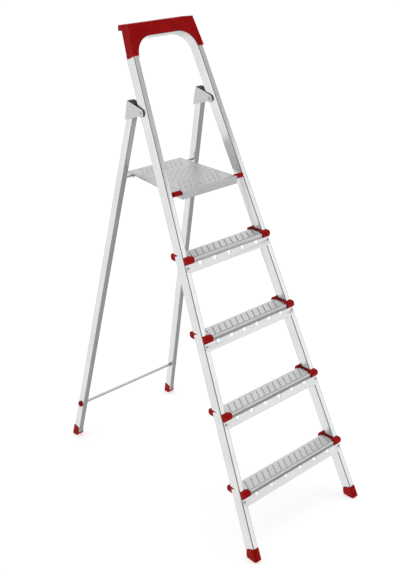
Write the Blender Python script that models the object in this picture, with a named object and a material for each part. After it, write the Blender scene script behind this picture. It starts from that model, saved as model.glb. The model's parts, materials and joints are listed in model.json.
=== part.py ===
"""Folding step ladder: a bent front frame with four treads and a cap, a folding rear frame and a tilting platform.

The ladder stands on z = 0 and is symmetric about x = 0. The climbing side faces -Y. Sizes are in metres.
The front frame leans back and is modelled in its own frame: x across, y from front to back through the
tube and z up along the stile. The rear frame has the same kind of frame, with its origin on the hinge.
"""

import math

import bpy
from mathutils import Matrix, Vector

# Front frame: one rectangular tube bent into a tall U.
FRONT_LEAN = math.radians(24.85)  # from the vertical
FRONT_SPLAY = math.radians(3.8)  # each stile, in the plane of the frame
FRONT_FOOT_SPACING = 0.475  # between stile centre lines, at the floor
STILE_WIDTH = 0.020
STILE_DEPTH = 0.040
STILE_WALL = 0.0015
STILE_CORNER = 0.004
HANDRAIL_ABOVE_HINGE = 0.232  # hinge to the centre line of the bend's top, along the frame
BEND_RADIUS = 0.076  # centre line
TUBE_START = 0.018  # the cut ends of the tubes stand this far up inside the feet

# Rear frame: two separate tubes, hinged to the stiles through a bracket each.
REAR_LEAN = math.radians(12.6)
REAR_FOOT_INSET = 0.008  # each rear foot stands this far inside the front one
LEG_WIDTH = 0.020
LEG_DEPTH = 0.030
LEG_WALL = 0.0015
LEG_CORNER = 0.003
LEG_TOP = 0.006  # the tube ends this far below the hinge line
HINGE_ABOVE_PLATFORM = 0.251  # along the front frame
HINGE_BEHIND = 0.0078  # hinge behind the stile's centre line
HINGE_TO_LEG = 0.0528  # hinge to the leg's centre line
CROSS_BAR_HEIGHT = 0.145
CROSS_BAR_RADIUS = 0.005

# Hinge bracket: a folded channel, open towards the front.
BRACKET_SHEET = 0.0018
BRACKET_INSIDE = 0.024
BRACKET_NOSE = 0.013
BRACKET_TOP = 0.013  # top edge above the hinge line
BRACKET_DEEP_END = 0.052  # lowest point of the cheeks below the hinge line, at the web
HINGE_PIN_RADIUS = 0.004
HINGE_HEAD_RADIUS = 0.0065
HINGE_HEAD_HEIGHT = 0.003
WASHER_RADIUS = 0.007
WASHER_THICKNESS = 0.00095

# Treads.
TREAD_COUNT = 4
FIRST_TREAD = 0.205  # height of the lowest tread's top
TREAD_PITCH = 0.225
TREAD_AHEAD = 0.035  # front edge ahead of the stile's centre line, level
TREAD_BEHIND = 0.025  # rear edge behind it
TREAD_SKIRT = 0.016
TREAD_LIP = 0.008
TREAD_SHEET = 0.0015
TREAD_CORNER = 0.003
CAP_WALL = 0.003  # end cap between the stile and the tread
CAP_REACH = 0.0115  # how far the end cap's noses reach in past the stile
CAP_ABOVE = 0.0048
CAP_BELOW = 0.0170
CAP_AHEAD = 0.004  # nose ahead of the tread's front edge
CAP_BACK = 0.0115  # rear nose behind the tread's rear edge
CAP_ROUND = 0.008
TREAD_RIVET_DROP = 0.009  # rivet axis below the tread's top

# Brace bar under each tread, flat against the stiles' front faces.
BRACE_SHEET = 0.0016
BRACE_TOP = -0.020  # all heights along the frame, from the tread's top
BRACE_BOTTOM = -0.047
BRACE_END_BOTTOM = -0.037
BRACE_END_OUT = 0.008  # end of the bar outside the stile's centre line
BRACE_END_TAPER = 0.016
NOTCH_BOTTOM = -0.031
NOTCH_TOP_WIDTH = 0.016
NOTCH_BOTTOM_WIDTH = 0.007
NOTCH_COUNT = 6
NOTCH_COUNT_TOP_TREAD = 5
BRACE_RIVET = -0.030
RIVET_RADIUS = 0.0024
RIVET_HEAD_RADIUS = 0.0045
RIVET_HEAD_HEIGHT = 0.0016

# Platform.
PLATFORM_RISE = 0.183  # above the highest tread
SPACER_LENGTH = 0.0332  # between the stile's inner face and the platform
PLATFORM_AHEAD = 0.0155  # front edge ahead of its axle
PLATFORM_BEHIND_REST = 0.0273  # rear edge behind the rest rod
PLATFORM_SHEET = 0.0015
PLATFORM_SKIRT = 0.025
PLATFORM_REAR_SKIRT = 0.0035
AXLE_DROP = 0.007  # axle below the platform's top
AXLE_AHEAD = 0.0125  # axle ahead of the stile's centre line, square to the frame
AXLE_RADIUS = 0.0035
SPACER_RADIUS = 0.0082
SPACER_STRETCH = 0.0045  # the spacer's oval reaches this far ahead of the axle
REST_ROD_RADIUS = 0.004
REST_DROP = 0.007  # rest rod below the platform's top
HOOK_BEHIND = 0.014
HOOK_AHEAD = 0.016
HOOK_BOTTOM = 0.012  # below the platform's top
HOOK_FLARE = math.radians(34)

# Handrail cap.
RAIL_CAP_DROP = 0.065  # the cap's legs end this far below the bend's top centre line, along the frame
RAIL_CAP_BACK = -0.008  # the cheeks stop this far ahead of the tube's back face
RAIL_CAP_WALL = 0.0022
RAIL_CAP_SIDE = 0.0024  # cheek outside the tube, at the cap's lower end
RAIL_CAP_LEAN = math.radians(7.3)  # the cheeks' outer faces, in the frame's plane
RAIL_CAP_ABOVE = 0.0205  # front top edge above the tube, along the frame
RAIL_CAP_TILT = math.radians(8.6)  # the top falls this much to the rear
RAIL_CAP_DEPTH = 0.0495  # of the top
LIP_HEIGHT = 0.0174  # of the top's rear wall

# Feet and plugs.
FOOT_WALL = 0.0022
FOOT_LENGTH = 0.0355  # top edge of the front feet, along the stile
REAR_FOOT_LENGTH = 0.034
TOE_RADIUS = 0.014
HEEL_RADIUS = 0.004
PLUG_RADIUS = 0.011
PLUG_THICKNESS = 0.006

GAP = 0.0003  # between pieces that touch
ARC_STEPS = 5

# Worked out from the values above.
PLATFORM_HEIGHT = FIRST_TREAD + (TREAD_COUNT - 1) * TREAD_PITCH + PLATFORM_RISE
HINGE_LENGTH = PLATFORM_HEIGHT / math.cos(FRONT_LEAN) + HINGE_ABOVE_PLATFORM
HANDRAIL_LENGTH = HINGE_LENGTH + HANDRAIL_ABOVE_HINGE
RAIL_CAP_LEG = HANDRAIL_LENGTH - RAIL_CAP_DROP
HALF_FLOOR = FRONT_FOOT_SPACING / 2
PIVOT_Y = HINGE_LENGTH * math.sin(FRONT_LEAN) + HINGE_BEHIND * math.cos(FRONT_LEAN)
PIVOT_Z = HINGE_LENGTH * math.cos(FRONT_LEAN) - HINGE_BEHIND * math.sin(FRONT_LEAN)
LEG_LENGTH = (PIVOT_Z + HINGE_TO_LEG * math.sin(REAR_LEAN)) / math.cos(REAR_LEAN)
REAR_FLOOR_Y = PIVOT_Y + HINGE_TO_LEG * math.cos(REAR_LEAN) + LEG_LENGTH * math.sin(REAR_LEAN)
PIVOT_HALF = HALF_FLOOR - HINGE_LENGTH * math.tan(FRONT_SPLAY)
BRACKET_GRIP = (LEG_TOP + BRACKET_DEEP_END) / 2  # middle of the leg's length inside the bracket
REAR_SLOPE = (HALF_FLOOR - REAR_FOOT_INSET - PIVOT_HALF) / (LEG_LENGTH - BRACKET_GRIP)
FRONT_SOLE = (STILE_DEPTH / 2 + FOOT_WALL + GAP) / math.cos(FRONT_LEAN)
REAR_SOLE = (LEG_DEPTH / 2 + FOOT_WALL + GAP) / math.cos(REAR_LEAN)
# The base is centred on y = 0, from the toe of the front feet to the heel of the rear feet.
FRONT_Y = (FRONT_SOLE - (REAR_FLOOR_Y + REAR_SOLE)) / 2

FRONT_TURN = Matrix.Rotation(-FRONT_LEAN, 4, "X")
FRONT_FRAME = Matrix.Translation((0, FRONT_Y, 0)) @ FRONT_TURN
REAR_FRAME = Matrix.Translation((0, FRONT_Y + PIVOT_Y, PIVOT_Z)) @ Matrix.Rotation(REAR_LEAN, 4, "X")

FINISHES = {
    "galvanised": ((0.62, 0.63, 0.64, 1), 0.32, 1.0),
    "tread_metal": ((0.50, 0.50, 0.51, 1), 0.38, 1.0),
    "brace_metal": ((0.80, 0.81, 0.82, 1), 0.30, 1.0),
    "rivet_steel": ((0.45, 0.45, 0.46, 1), 0.35, 1.0),
    "red_plastic": ((0.30, 0.004, 0.008, 1), 0.42, 0.0),
    "nylon": ((0.75, 0.75, 0.72, 1), 0.5, 0.0),
}


# ---------------------------------------------------------------- places

def stile_half(height):
    """Half the distance between the stiles' centre lines at a height along the frame."""
    return HALF_FLOOR - height * math.tan(FRONT_SPLAY)


def leg_half(below_hinge):
    """Half the distance between the rear legs' centre lines, at a distance below the hinge line."""
    return PIVOT_HALF + (below_hinge - BRACKET_GRIP) * REAR_SLOPE


def along(z, behind=0.0):
    """Height along the front frame of a point at world height z, the given distance behind the centre line."""
    return (z + behind * math.sin(FRONT_LEAN)) / math.cos(FRONT_LEAN)


def line_y(z):
    """World y of the stiles' centre line at world height z."""
    return FRONT_Y + z * math.tan(FRONT_LEAN)


def stile_matrix(side):
    """Frame of one stile: z along its own centre line, x across it, starting at the floor."""
    return FRONT_FRAME @ Matrix.Translation((side * HALF_FLOOR, 0, 0)) @ Matrix.Rotation(
        -side * FRONT_SPLAY, 4, "Y"
    )


def leg_matrix(side):
    """Frame of one rear leg, with its origin on the leg's centre line level with the hinge."""
    return REAR_FRAME @ Matrix.Translation((side * leg_half(0), HINGE_TO_LEG, 0)) @ Matrix.Rotation(
        -side * math.atan(REAR_SLOPE), 4, "Y"
    )


# ---------------------------------------------------------------- shapes

def clear_scene():
    for item in list(bpy.data.objects):
        bpy.data.objects.remove(item, do_unlink=True)


def finish(name):
    """The named finish as a material, made once."""
    found = bpy.data.materials.get(name)
    if found:
        return found
    colour, roughness, metallic = FINISHES[name]
    made = bpy.data.materials.new(name)
    made.use_nodes = True
    shader = made.node_tree.nodes["Principled BSDF"]
    shader.inputs["Base Color"].default_value = colour
    shader.inputs["Roughness"].default_value = roughness
    shader.inputs["Metallic"].default_value = metallic
    made.diffuse_color = colour
    return made


def shape(points, faces):
    """A mesh from points and faces."""
    mesh = bpy.data.meshes.new("shape")
    mesh.from_pydata([tuple(p) for p in points], [], faces)
    mesh.validate()
    return mesh


def prism(outline, low, high, axis="X"):
    """A closed outline extruded from low to high along an axis. The outline gives the other two axes in order."""
    spots = {"X": lambda a, b, c: (c, a, b), "Y": lambda a, b, c: (a, c, b), "Z": lambda a, b, c: (a, b, c)}
    place = spots[axis]
    count = len(outline)
    area = sum(a[0] * b[1] - b[0] * a[1] for a, b in zip(outline, outline[1:] + outline[:1]))
    ring = outline if (area > 0) != (axis == "Y") else outline[::-1]
    points = [place(a, b, low) for a, b in ring] + [place(a, b, high) for a, b in ring]
    faces = [tuple(reversed(range(count))), tuple(range(count, 2 * count))]
    faces += [(i, (i + 1) % count, count + (i + 1) % count, count + i) for i in range(count)]
    return shape(points, faces)


def box(low, high):
    """A box between two corners."""
    return prism([(low[0], low[1]), (high[0], low[1]), (high[0], high[1]), (low[0], high[1])], low[2], high[2], "Z")


def arc(centre, radius, start, end, steps=ARC_STEPS):
    """Points on an arc, both ends included. Angles in radians."""
    turn = (end - start) / steps
    return [
        (centre[0] + radius * math.cos(start + i * turn), centre[1] + radius * math.sin(start + i * turn))
        for i in range(steps + 1)
    ]


def rounded(low, high, radii, steps=3):
    """A rectangle with its own radius at each corner, starting low-low and going round."""
    quarter = math.pi / 2
    corners = [
        (low[0] + radii[0], low[1] + radii[0]),
        (high[0] - radii[1], low[1] + radii[1]),
        (high[0] - radii[2], high[1] - radii[2]),
        (low[0] + radii[3], high[1] - radii[3]),
    ]
    points = []
    for index, (corner, radius) in enumerate(zip(corners, radii)):
        if radius <= 0:
            points.append(corner)
        else:
            points += arc(corner, radius, (index + 2) * quarter, (index + 3) * quarter, steps)
    return points


def tube_ring(width, depth, corner):
    """The outline of a rectangular tube, x across and y through it."""
    return rounded((-width / 2, -depth / 2), (width / 2, depth / 2), (corner,) * 4, 2)


def turned(profile, sides, axis_turn):
    """A solid of revolution about Z from (radius, height) points, with both ends on the axis, then turned."""
    rings = profile[1:-1]
    points = [(0, 0, profile[0][1])]
    for radius, height in rings:
        for i in range(sides):
            angle = 2 * math.pi * i / sides
            points.append((radius * math.cos(angle), radius * math.sin(angle), height))
    points.append((0, 0, profile[-1][1]))
    last = len(points) - 1
    faces = [(0, 1 + (i + 1) % sides, 1 + i) for i in range(sides)]
    for ring in range(len(rings) - 1):
        base = 1 + ring * sides
        for i in range(sides):
            j = (i + 1) % sides
            faces.append((base + i, base + j, base + sides + j, base + sides + i))
    base = 1 + (len(rings) - 1) * sides
    faces += [(base + i, base + (i + 1) % sides, last) for i in range(sides)]
    mesh = shape(points, faces)
    mesh.transform(axis_turn)
    return mesh


def rod(radius, low, high, sides=12):
    """A round bar along X, between two x positions."""
    profile = [(0, low), (radius, low), (radius, high), (0, high)]
    return turned(profile, sides, Matrix.Rotation(math.pi / 2, 4, "Y"))


def swept(path, rings):
    """A tube with an outer and an inner skin: each ring is carried along a path of (point, direction) in the XZ plane."""
    outer, inner = rings
    count = len(outer)
    points = []
    for (px, pz), (dx, dz) in path:
        for ring in (outer, inner):
            # Across the tube is the direction turned a quarter, so a closed corner isn't twisted.
            points += [(px + x * dz, y, pz - x * dx) for x, y in ring]
    faces = []
    stride = 2 * count
    for step in range(len(path) - 1):
        for i in range(count):
            j = (i + 1) % count
            a, b = step * stride, (step + 1) * stride
            faces.append((a + i, a + j, b + j, b + i))
            faces.append((a + count + j, a + count + i, b + count + i, b + count + j))
    end = (len(path) - 1) * stride
    for i in range(count):
        j = (i + 1) % count
        faces.append((j, i, count + i, count + j))
        faces.append((end + i, end + j, end + count + j, end + count + i))
    return shape(points, faces)


# ---------------------------------------------------------------- objects

def add(name, mesh, finish_name, matrix=None, parent=None):
    """A named piece. Its mesh is in the given frame, and it is parented in place."""
    mesh.name = name
    mesh.materials.clear()
    mesh.materials.append(finish(finish_name))
    piece = bpy.data.objects.new(name, mesh)
    bpy.context.collection.objects.link(piece)
    piece.matrix_world = matrix or Matrix()
    if parent:
        piece.parent = parent
        piece.matrix_parent_inverse = parent.matrix_world.inverted()
    for face in mesh.polygons:
        face.use_smooth = True
    mesh.set_sharp_from_angle(angle=math.radians(40))
    return piece


def combine(piece, meshes, operation, matrix=None):
    """Cuts meshes from a piece, or joins them to it, in the order given. The meshes are in the given frame."""
    for mesh in meshes:
        tool = bpy.data.objects.new(piece.name + "_tool", mesh)
        bpy.context.collection.objects.link(tool)
        tool.matrix_world = matrix or Matrix()
        tool.hide_render = True
        tool.display_type = "WIRE"
        change = piece.modifiers.new(operation.lower(), "BOOLEAN")
        change.object = tool
        change.operation = operation
        change.solver = "EXACT"
        bpy.context.view_layer.update()
        graph = bpy.context.evaluated_depsgraph_get()
        result = bpy.data.meshes.new_from_object(piece.evaluated_get(graph))
        piece.modifiers.clear()
        piece.data = result
        bpy.data.objects.remove(tool, do_unlink=True)
    for face in piece.data.polygons:
        face.use_smooth = True
    piece.data.set_sharp_from_angle(angle=math.radians(40))
    return piece


def axis_empty(name, matrix):
    """An empty on a joint's axis, which the moving pieces hang from."""
    mark = bpy.data.objects.new(name, None)
    bpy.context.collection.objects.link(mark)
    mark.matrix_world = matrix
    bpy.context.view_layer.update()
    return mark


SIDES = (("left", -1), ("right", 1))


# ---------------------------------------------------------------- front frame

def bend_centre():
    """Centre of the right-hand bend in the frame's plane."""
    height = HANDRAIL_LENGTH - BEND_RADIUS
    return stile_half(height) - BEND_RADIUS / math.cos(FRONT_SPLAY), height


def frame_path():
    """The U's centre line as (point, direction), up the left stile and down the right one."""
    centre_x, centre_z = bend_centre()
    start = (-stile_half(TUBE_START), TUBE_START)
    up = (math.sin(FRONT_SPLAY), math.cos(FRONT_SPLAY))
    path = [(start, up)]
    steps = 8
    for side in (-1, 1):
        first = math.pi - FRONT_SPLAY if side < 0 else math.pi / 2
        last = math.pi / 2 if side < 0 else FRONT_SPLAY
        for i in range(steps + 1):
            angle = first + (last - first) * i / steps
            spot = (side * centre_x + BEND_RADIUS * math.cos(angle), centre_z + BEND_RADIUS * math.sin(angle))
            path.append((spot, (math.sin(angle), -math.cos(angle))))
    path.append(((-start[0], start[1]), (up[0], -up[1])))
    return path


def make_front_frame():
    outer = tube_ring(STILE_WIDTH, STILE_DEPTH, STILE_CORNER)
    inside = STILE_CORNER - STILE_WALL
    inner = tube_ring(STILE_WIDTH - 2 * STILE_WALL, STILE_DEPTH - 2 * STILE_WALL, inside)
    frame = add("front_frame", swept(frame_path(), (outer, inner)), "galvanised", FRONT_FRAME)
    inner_wall = STILE_WIDTH / 2 + 0.002
    for _, side in SIDES:
        holes = [
            rod(HINGE_PIN_RADIUS + GAP, -inner_wall, inner_wall),
        ]
        combine(frame, holes, "DIFFERENCE", Matrix.Translation((side * PIVOT_HALF, *pivot_yz())))
        axle = axle_yz()
        half = stile_half(along(axle[1]))
        reach = sorted((-side * 0.005, -side * inner_wall))
        combine(
            frame, [rod(AXLE_RADIUS + GAP, *reach)], "DIFFERENCE", Matrix.Translation((side * half, *axle))
        )
        for index in range(TREAD_COUNT):
            spot = tread_rivet(index, side)
            combine(frame, [rod(RIVET_RADIUS + GAP, *reach)], "DIFFERENCE", spot)
            combine(frame, [front_pin(RIVET_RADIUS + GAP, -0.004, 0.004)], "DIFFERENCE", brace_rivet(index, side))
    return frame


def pivot_yz():
    return FRONT_Y + PIVOT_Y, PIVOT_Z


def axle_yz():
    """World y and z of the platform's axle."""
    z = PLATFORM_HEIGHT - AXLE_DROP
    return line_y(z) - AXLE_AHEAD / math.cos(FRONT_LEAN), z


# ---------------------------------------------------------------- treads

def tread_top(index):
    return FIRST_TREAD + index * TREAD_PITCH


def tread_frame(index):
    """World frame of a tread: origin at its top, level with the stiles' centre lines."""
    top = tread_top(index)
    return Matrix.Translation((0, line_y(top), top))


def tread_half(index):
    """Half the tread's length, which ends against the end caps' walls."""
    top = tread_top(index)
    return stile_half(along(top)) - STILE_WIDTH / 2 / math.cos(FRONT_SPLAY) - CAP_WALL - 2 * GAP


def tread_rivet(index, side):
    """World place of the rivet that holds a tread's end, on the stile's centre line."""
    z = tread_top(index) - TREAD_RIVET_DROP
    return Matrix.Translation((side * stile_half(along(z)), line_y(z), z))


def make_tread(index):
    half = tread_half(index)
    front, back, deep, sheet = -TREAD_AHEAD, TREAD_BEHIND, -TREAD_SKIRT, TREAD_SHEET
    low_round = TREAD_SHEET / 2
    outline = rounded((front, deep), (back, 0), (low_round, low_round, TREAD_CORNER, TREAD_CORNER))
    tread = add("tread_%d" % (index + 1), prism(outline, -half, half), "tread_metal", tread_frame(index))
    room = rounded((front + sheet, deep + sheet), (back - sheet, -sheet), (0, 0, sheet, sheet))
    mouth = [
        (front + TREAD_LIP, deep - sheet),
        (back - TREAD_LIP, deep - sheet),
        (back - TREAD_LIP, deep + 2 * sheet),
        (front + TREAD_LIP, deep + 2 * sheet),
    ]
    inside = half - sheet
    combine(tread, [prism(room, -inside, inside), prism(mouth, -inside, inside)], "DIFFERENCE", tread_frame(index))
    for _, side in SIDES:
        spot = tread_rivet(index, side)
        reach = sorted((0, -side * 0.030))
        combine(tread, [rod(RIVET_RADIUS + GAP, *reach)], "DIFFERENCE", spot)
    return tread


def make_tread_cap(index, label, side):
    """End cap between stile and tread, with a nose in front of the stile and one behind it."""
    top = tread_top(index)
    centre = side * stile_half(along(top))
    outside = centre + side * STILE_WIDTH / 2
    inside = centre - side * (STILE_WIDTH / 2 + CAP_REACH)
    low = (-TREAD_AHEAD - CAP_AHEAD, -CAP_BELOW)
    high = (TREAD_BEHIND + CAP_BACK, CAP_ABOVE)
    body = prism(rounded(low, high, (CAP_ROUND,) * 4, 4), *sorted((outside, inside)))
    cap = add("tread_cap_%d_%s" % (index + 1, label), body, "red_plastic", tread_frame(index))
    hole = tube_ring(STILE_WIDTH + 2 * GAP, STILE_DEPTH + 2 * GAP, STILE_CORNER)
    combine(cap, [prism(hole, along(top) - 0.1, along(top) + 0.1, "Z")], "DIFFERENCE", stile_matrix(side))
    wall = side * (tread_half(index) + GAP)
    far = inside - side * 0.02
    pocket = box(
        (min(wall, far), -TREAD_AHEAD - GAP, -CAP_BELOW - 0.01),
        (max(wall, far), TREAD_BEHIND + GAP, GAP),
    )
    middle = STILE_DEPTH / 2 / math.cos(FRONT_LEAN)
    clearing = box(
        (min(wall, far), -middle, -0.002),
        (max(wall, far), middle, CAP_ABOVE + 0.01),
    )
    outer_slice = box(
        (min(outside, outside + side * 0.02), low[0] - 0.01, low[1] - 0.01),
        (max(outside, outside + side * 0.02), high[0] + 0.01, high[1] + 0.01),
    )
    combine(cap, [pocket, clearing, outer_slice], "DIFFERENCE", tread_frame(index))
    reach = sorted((0, -side * 0.030))
    combine(cap, [rod(RIVET_RADIUS + GAP, *reach)], "DIFFERENCE", tread_rivet(index, side))
    return cap


def rivet_mesh(start, end, head_at_end=True):
    """A rivet along X: a shank from start, with its domed head beyond end."""
    grow = 1 if end > start else -1
    head = [
        (RIVET_RADIUS, end + grow * GAP),
        (RIVET_HEAD_RADIUS, end + grow * GAP),
        (RIVET_HEAD_RADIUS * 0.92, end + grow * (GAP + RIVET_HEAD_HEIGHT * 0.5)),
        (RIVET_HEAD_RADIUS * 0.55, end + grow * (GAP + RIVET_HEAD_HEIGHT * 0.92)),
    ]
    profile = [(0, start), (RIVET_RADIUS, start)] + head + [(0, end + grow * (GAP + RIVET_HEAD_HEIGHT))]
    if grow < 0:
        profile.reverse()
    return turned(profile, 12, Matrix.Rotation(math.pi / 2, 4, "Y"))


def make_tread_rivet(index, label, side):
    """Rivet through the tread's end flange and the end cap into the stile, with its head inside the tread."""
    centre = stile_half(along(tread_top(index) - TREAD_RIVET_DROP))
    flange = centre - tread_half(index) + TREAD_SHEET
    mesh = rivet_mesh(-side * (STILE_WIDTH / 2 - STILE_WALL - 0.0015), -side * flange)
    return add("tread_rivet_%d_%s" % (index + 1, label), mesh, "rivet_steel", tread_rivet(index, side))


# ---------------------------------------------------------------- braces

def brace_datum(index):
    """Height along the frame of a tread's top plane where it meets the stiles' front faces."""
    return along(tread_top(index), -STILE_DEPTH / 2)


def brace_outline(index):
    """The brace bar flat in the frame's plane: a strip with trapezoid notches in its top edge."""
    datum = brace_datum(index)
    end = stile_half(datum + BRACE_RIVET) + BRACE_END_OUT
    slope_start = end - BRACE_END_TAPER
    notches = NOTCH_COUNT_TOP_TREAD if index == TREAD_COUNT - 1 else NOTCH_COUNT
    inner = 2 * (stile_half(datum) - STILE_WIDTH)
    pitch = inner / notches
    outline = [
        (-end, datum + BRACE_END_BOTTOM),
        (-slope_start, datum + BRACE_BOTTOM),
        (slope_start, datum + BRACE_BOTTOM),
        (end, datum + BRACE_END_BOTTOM),
        (end, datum + BRACE_TOP),
    ]
    for i in reversed(range(notches)):
        middle = (i - (notches - 1) / 2) * pitch
        for across, height in (
            (NOTCH_TOP_WIDTH / 2, BRACE_TOP),
            (NOTCH_BOTTOM_WIDTH / 2, NOTCH_BOTTOM),
            (-NOTCH_BOTTOM_WIDTH / 2, NOTCH_BOTTOM),
            (-NOTCH_TOP_WIDTH / 2, BRACE_TOP),
        ):
            outline.append((middle + across, datum + height))
    outline.append((-end, datum + BRACE_TOP))
    return outline


def brace_rivet(index, side):
    """World place of the rivet through a brace's end, on the stile's front face, with y through the face."""
    height = brace_datum(index) + BRACE_RIVET
    return FRONT_FRAME @ Matrix.Translation((side * stile_half(height), -STILE_DEPTH / 2, height))


def front_pin(radius, low, high):
    """A round bar along the frame's own y."""
    return turned([(0, -high), (radius, -high), (radius, -low), (0, -low)], 12, Matrix.Rotation(math.pi / 2, 4, "X"))


def make_brace(index):
    back = -STILE_DEPTH / 2 - GAP
    brace = add(
        "tread_brace_%d" % (index + 1),
        prism(brace_outline(index), back - BRACE_SHEET, back, "Y"),
        "brace_metal",
        FRONT_FRAME,
    )
    for _, side in SIDES:
        combine(brace, [front_pin(RIVET_RADIUS + GAP, -0.01, 0.01)], "DIFFERENCE", brace_rivet(index, side))
    return brace


def make_brace_rivet(index, label, side):
    mesh = rivet_mesh(-STILE_WALL - 0.0015, BRACE_SHEET + GAP)
    mesh.transform(Matrix.Rotation(-math.pi / 2, 4, "Z"))
    name = "brace_rivet_%d_%s" % (index + 1, label)
    return add(name, mesh, "rivet_steel", brace_rivet(index, side))


# ---------------------------------------------------------------- handrail cap

def make_rail_cap():
    """Moulded cap over the bend: a front wall with an arch, cheeks outside the tube and a top with a rear lip.

    It is the front outline carried from front to back, cut to the side outline. The same two outlines, a wall
    further in, make the room for the tube.
    """
    cap = add("handrail_cap", cap_front_view(0, 0), "red_plastic", FRONT_FRAME)
    combine(cap, [cap_side_view(0)], "INTERSECT")
    room = add("cap_room", cap_front_view(RAIL_CAP_WALL - GAP, 0.02), "red_plastic", FRONT_FRAME)
    combine(room, [cap_side_view(RAIL_CAP_WALL)], "INTERSECT")
    cutter = room.data.copy()
    bpy.data.objects.remove(room)
    combine(cap, [cutter], "DIFFERENCE", FRONT_FRAME)
    return cap


def cap_front_view(inset, arch_grow):
    """The cap's outline in the frame's plane, carried backwards from its front wall.

    inset moves the cheeks and the front wall inwards, and arch_grow lets the outline reach in past the arch.
    """
    centre_x, centre_z = bend_centre()
    inner_radius = BEND_RADIUS - STILE_WIDTH / 2
    half_width = STILE_WIDTH / 2 / math.cos(FRONT_SPLAY)
    low = RAIL_CAP_LEG - (0.02 if inset else 0)
    high = HANDRAIL_LENGTH + 0.05
    side = stile_half(RAIL_CAP_LEG) + half_width + RAIL_CAP_SIDE - inset
    side_low = side + (RAIL_CAP_LEG - low) * math.tan(RAIL_CAP_LEAN)
    side_high = side - (high - RAIL_CAP_LEG) * math.tan(RAIL_CAP_LEAN)
    arch = arc((centre_x, centre_z), inner_radius - arch_grow, FRONT_SPLAY, math.pi / 2, 12)
    foot = (stile_half(low) - half_width - arch_grow, low)
    right = [foot] + arch
    left = [(-x, z) for x, z in right]
    outline = [(side_low, low), (side_high, high), (-side_high, high), (-side_low, low)] + left + right[::-1]
    front = -STILE_DEPTH / 2 - GAP - (0 if inset else RAIL_CAP_WALL)
    return prism(outline, front, 0.08, "Y")


def cap_side_view(inset):
    """The cap seen from the side, in the world: cheeks, tilted top and rear lip. inset lowers the top and the lip."""
    back = STILE_DEPTH / 2 + RAIL_CAP_BACK + (0.06 if inset else 0)
    to_rear = Vector((0, math.cos(RAIL_CAP_TILT), -math.sin(RAIL_CAP_TILT)))
    upwards = Vector((0, math.sin(RAIL_CAP_TILT), math.cos(RAIL_CAP_TILT)))
    front = -STILE_DEPTH / 2 - GAP - RAIL_CAP_WALL
    top = FRONT_FRAME @ Vector((0, front, HANDRAIL_LENGTH + STILE_WIDTH / 2 + RAIL_CAP_ABOVE))
    rear = top + to_rear * (RAIL_CAP_DEPTH - inset) - upwards * inset
    lip = rear - upwards * (LIP_HEIGHT + 2 * inset)
    foot = FRONT_FRAME @ Vector((0, back, RAIL_CAP_LEG - 0.03))
    ahead = FRONT_FRAME @ Vector((0, front - 0.02, RAIL_CAP_LEG - 0.03))
    # Where the lip's lower edge meets the line up the back of the cheeks.
    up = FRONT_TURN @ Vector((0, 0, 1))
    along_up = ((foot - lip).y * to_rear.z - (foot - lip).z * to_rear.y) / (up.z * to_rear.y - up.y * to_rear.z)
    joint = foot + up * along_up
    start = top - to_rear * 0.02 - upwards * inset
    outline = [ahead, start, rear, lip] + ([] if inset else [joint]) + [foot]
    return prism([(spot.y, spot.z) for spot in outline], -0.2, 0.2)


# ---------------------------------------------------------------- feet

def make_foot(name, matrix, tube, length, start, parent=None):
    """A moulded foot: a sleeve round the tube's end, with a level sole, a round toe and a small heel radius."""
    width, depth, corner = tube
    outer = tube_ring(width + 2 * FOOT_WALL + 2 * GAP, depth + 2 * FOOT_WALL + 2 * GAP, corner + FOOT_WALL)
    foot = add(name, prism(outer, start - 0.06, start + length, "Z"), "red_plastic", matrix, parent)
    spot = matrix @ Vector((0, 0, start))
    front_y, back_y = sole_span(matrix, depth, start)
    sole = rounded((front_y, 0), (back_y, 0.3), (TOE_RADIUS, HEEL_RADIUS, 0, 0), 4)
    combine(foot, [prism(sole, spot.x - width, spot.x + width)], "INTERSECT")
    hole = tube_ring(width + 2 * GAP, depth + 2 * GAP, corner)
    combine(foot, [prism(hole, start + TUBE_START - GAP, start + length + 0.05, "Z")], "DIFFERENCE", matrix)
    return foot


def sole_span(matrix, depth, start):
    """World y of the foot's front and back edges where they meet the floor."""
    outer = depth / 2 + FOOT_WALL + GAP
    edges = []
    for y in (-outer, outer):
        point = matrix @ Vector((0, y, start))
        direction = matrix.to_3x3() @ Vector((0, 0, 1))
        edges.append(point.y - point.z * direction.y / direction.z)
    return min(edges), max(edges)


# ---------------------------------------------------------------- rear frame

def leg_height(z):
    """Distance below the hinge line of a point on a leg's centre line at world height z."""
    return LEG_LENGTH - z / math.cos(REAR_LEAN)


def make_rear_leg(label, side, parent):
    outer = tube_ring(LEG_WIDTH, LEG_DEPTH, LEG_CORNER)
    inner = tube_ring(LEG_WIDTH - 2 * LEG_WALL, LEG_DEPTH - 2 * LEG_WALL, LEG_CORNER - LEG_WALL)
    path = [((0, -LEG_LENGTH + TUBE_START), (0, 1)), ((0, -LEG_TOP), (0, 1))]
    leg = add("rear_leg_" + label, swept(path, (outer, inner)), "galvanised", leg_matrix(side), parent)
    through = LEG_WIDTH / 2 + 0.003
    bar = rear_spot(side, leg_height(CROSS_BAR_HEIGHT))
    combine(leg, [rod(CROSS_BAR_RADIUS + GAP, -through, through)], "DIFFERENCE", bar)
    rest = rear_spot(side, leg_height(PLATFORM_HEIGHT - REST_DROP))
    reach = sorted((-side * 0.005, -side * through))
    combine(leg, [rod(REST_ROD_RADIUS + GAP, *reach)], "DIFFERENCE", rest)
    return leg


def rear_spot(side, below):
    """World place of a point on a leg's centre line, at a distance below the hinge line."""
    return REAR_FRAME @ Matrix.Translation((side * leg_half(below), HINGE_TO_LEG, -below))


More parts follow.
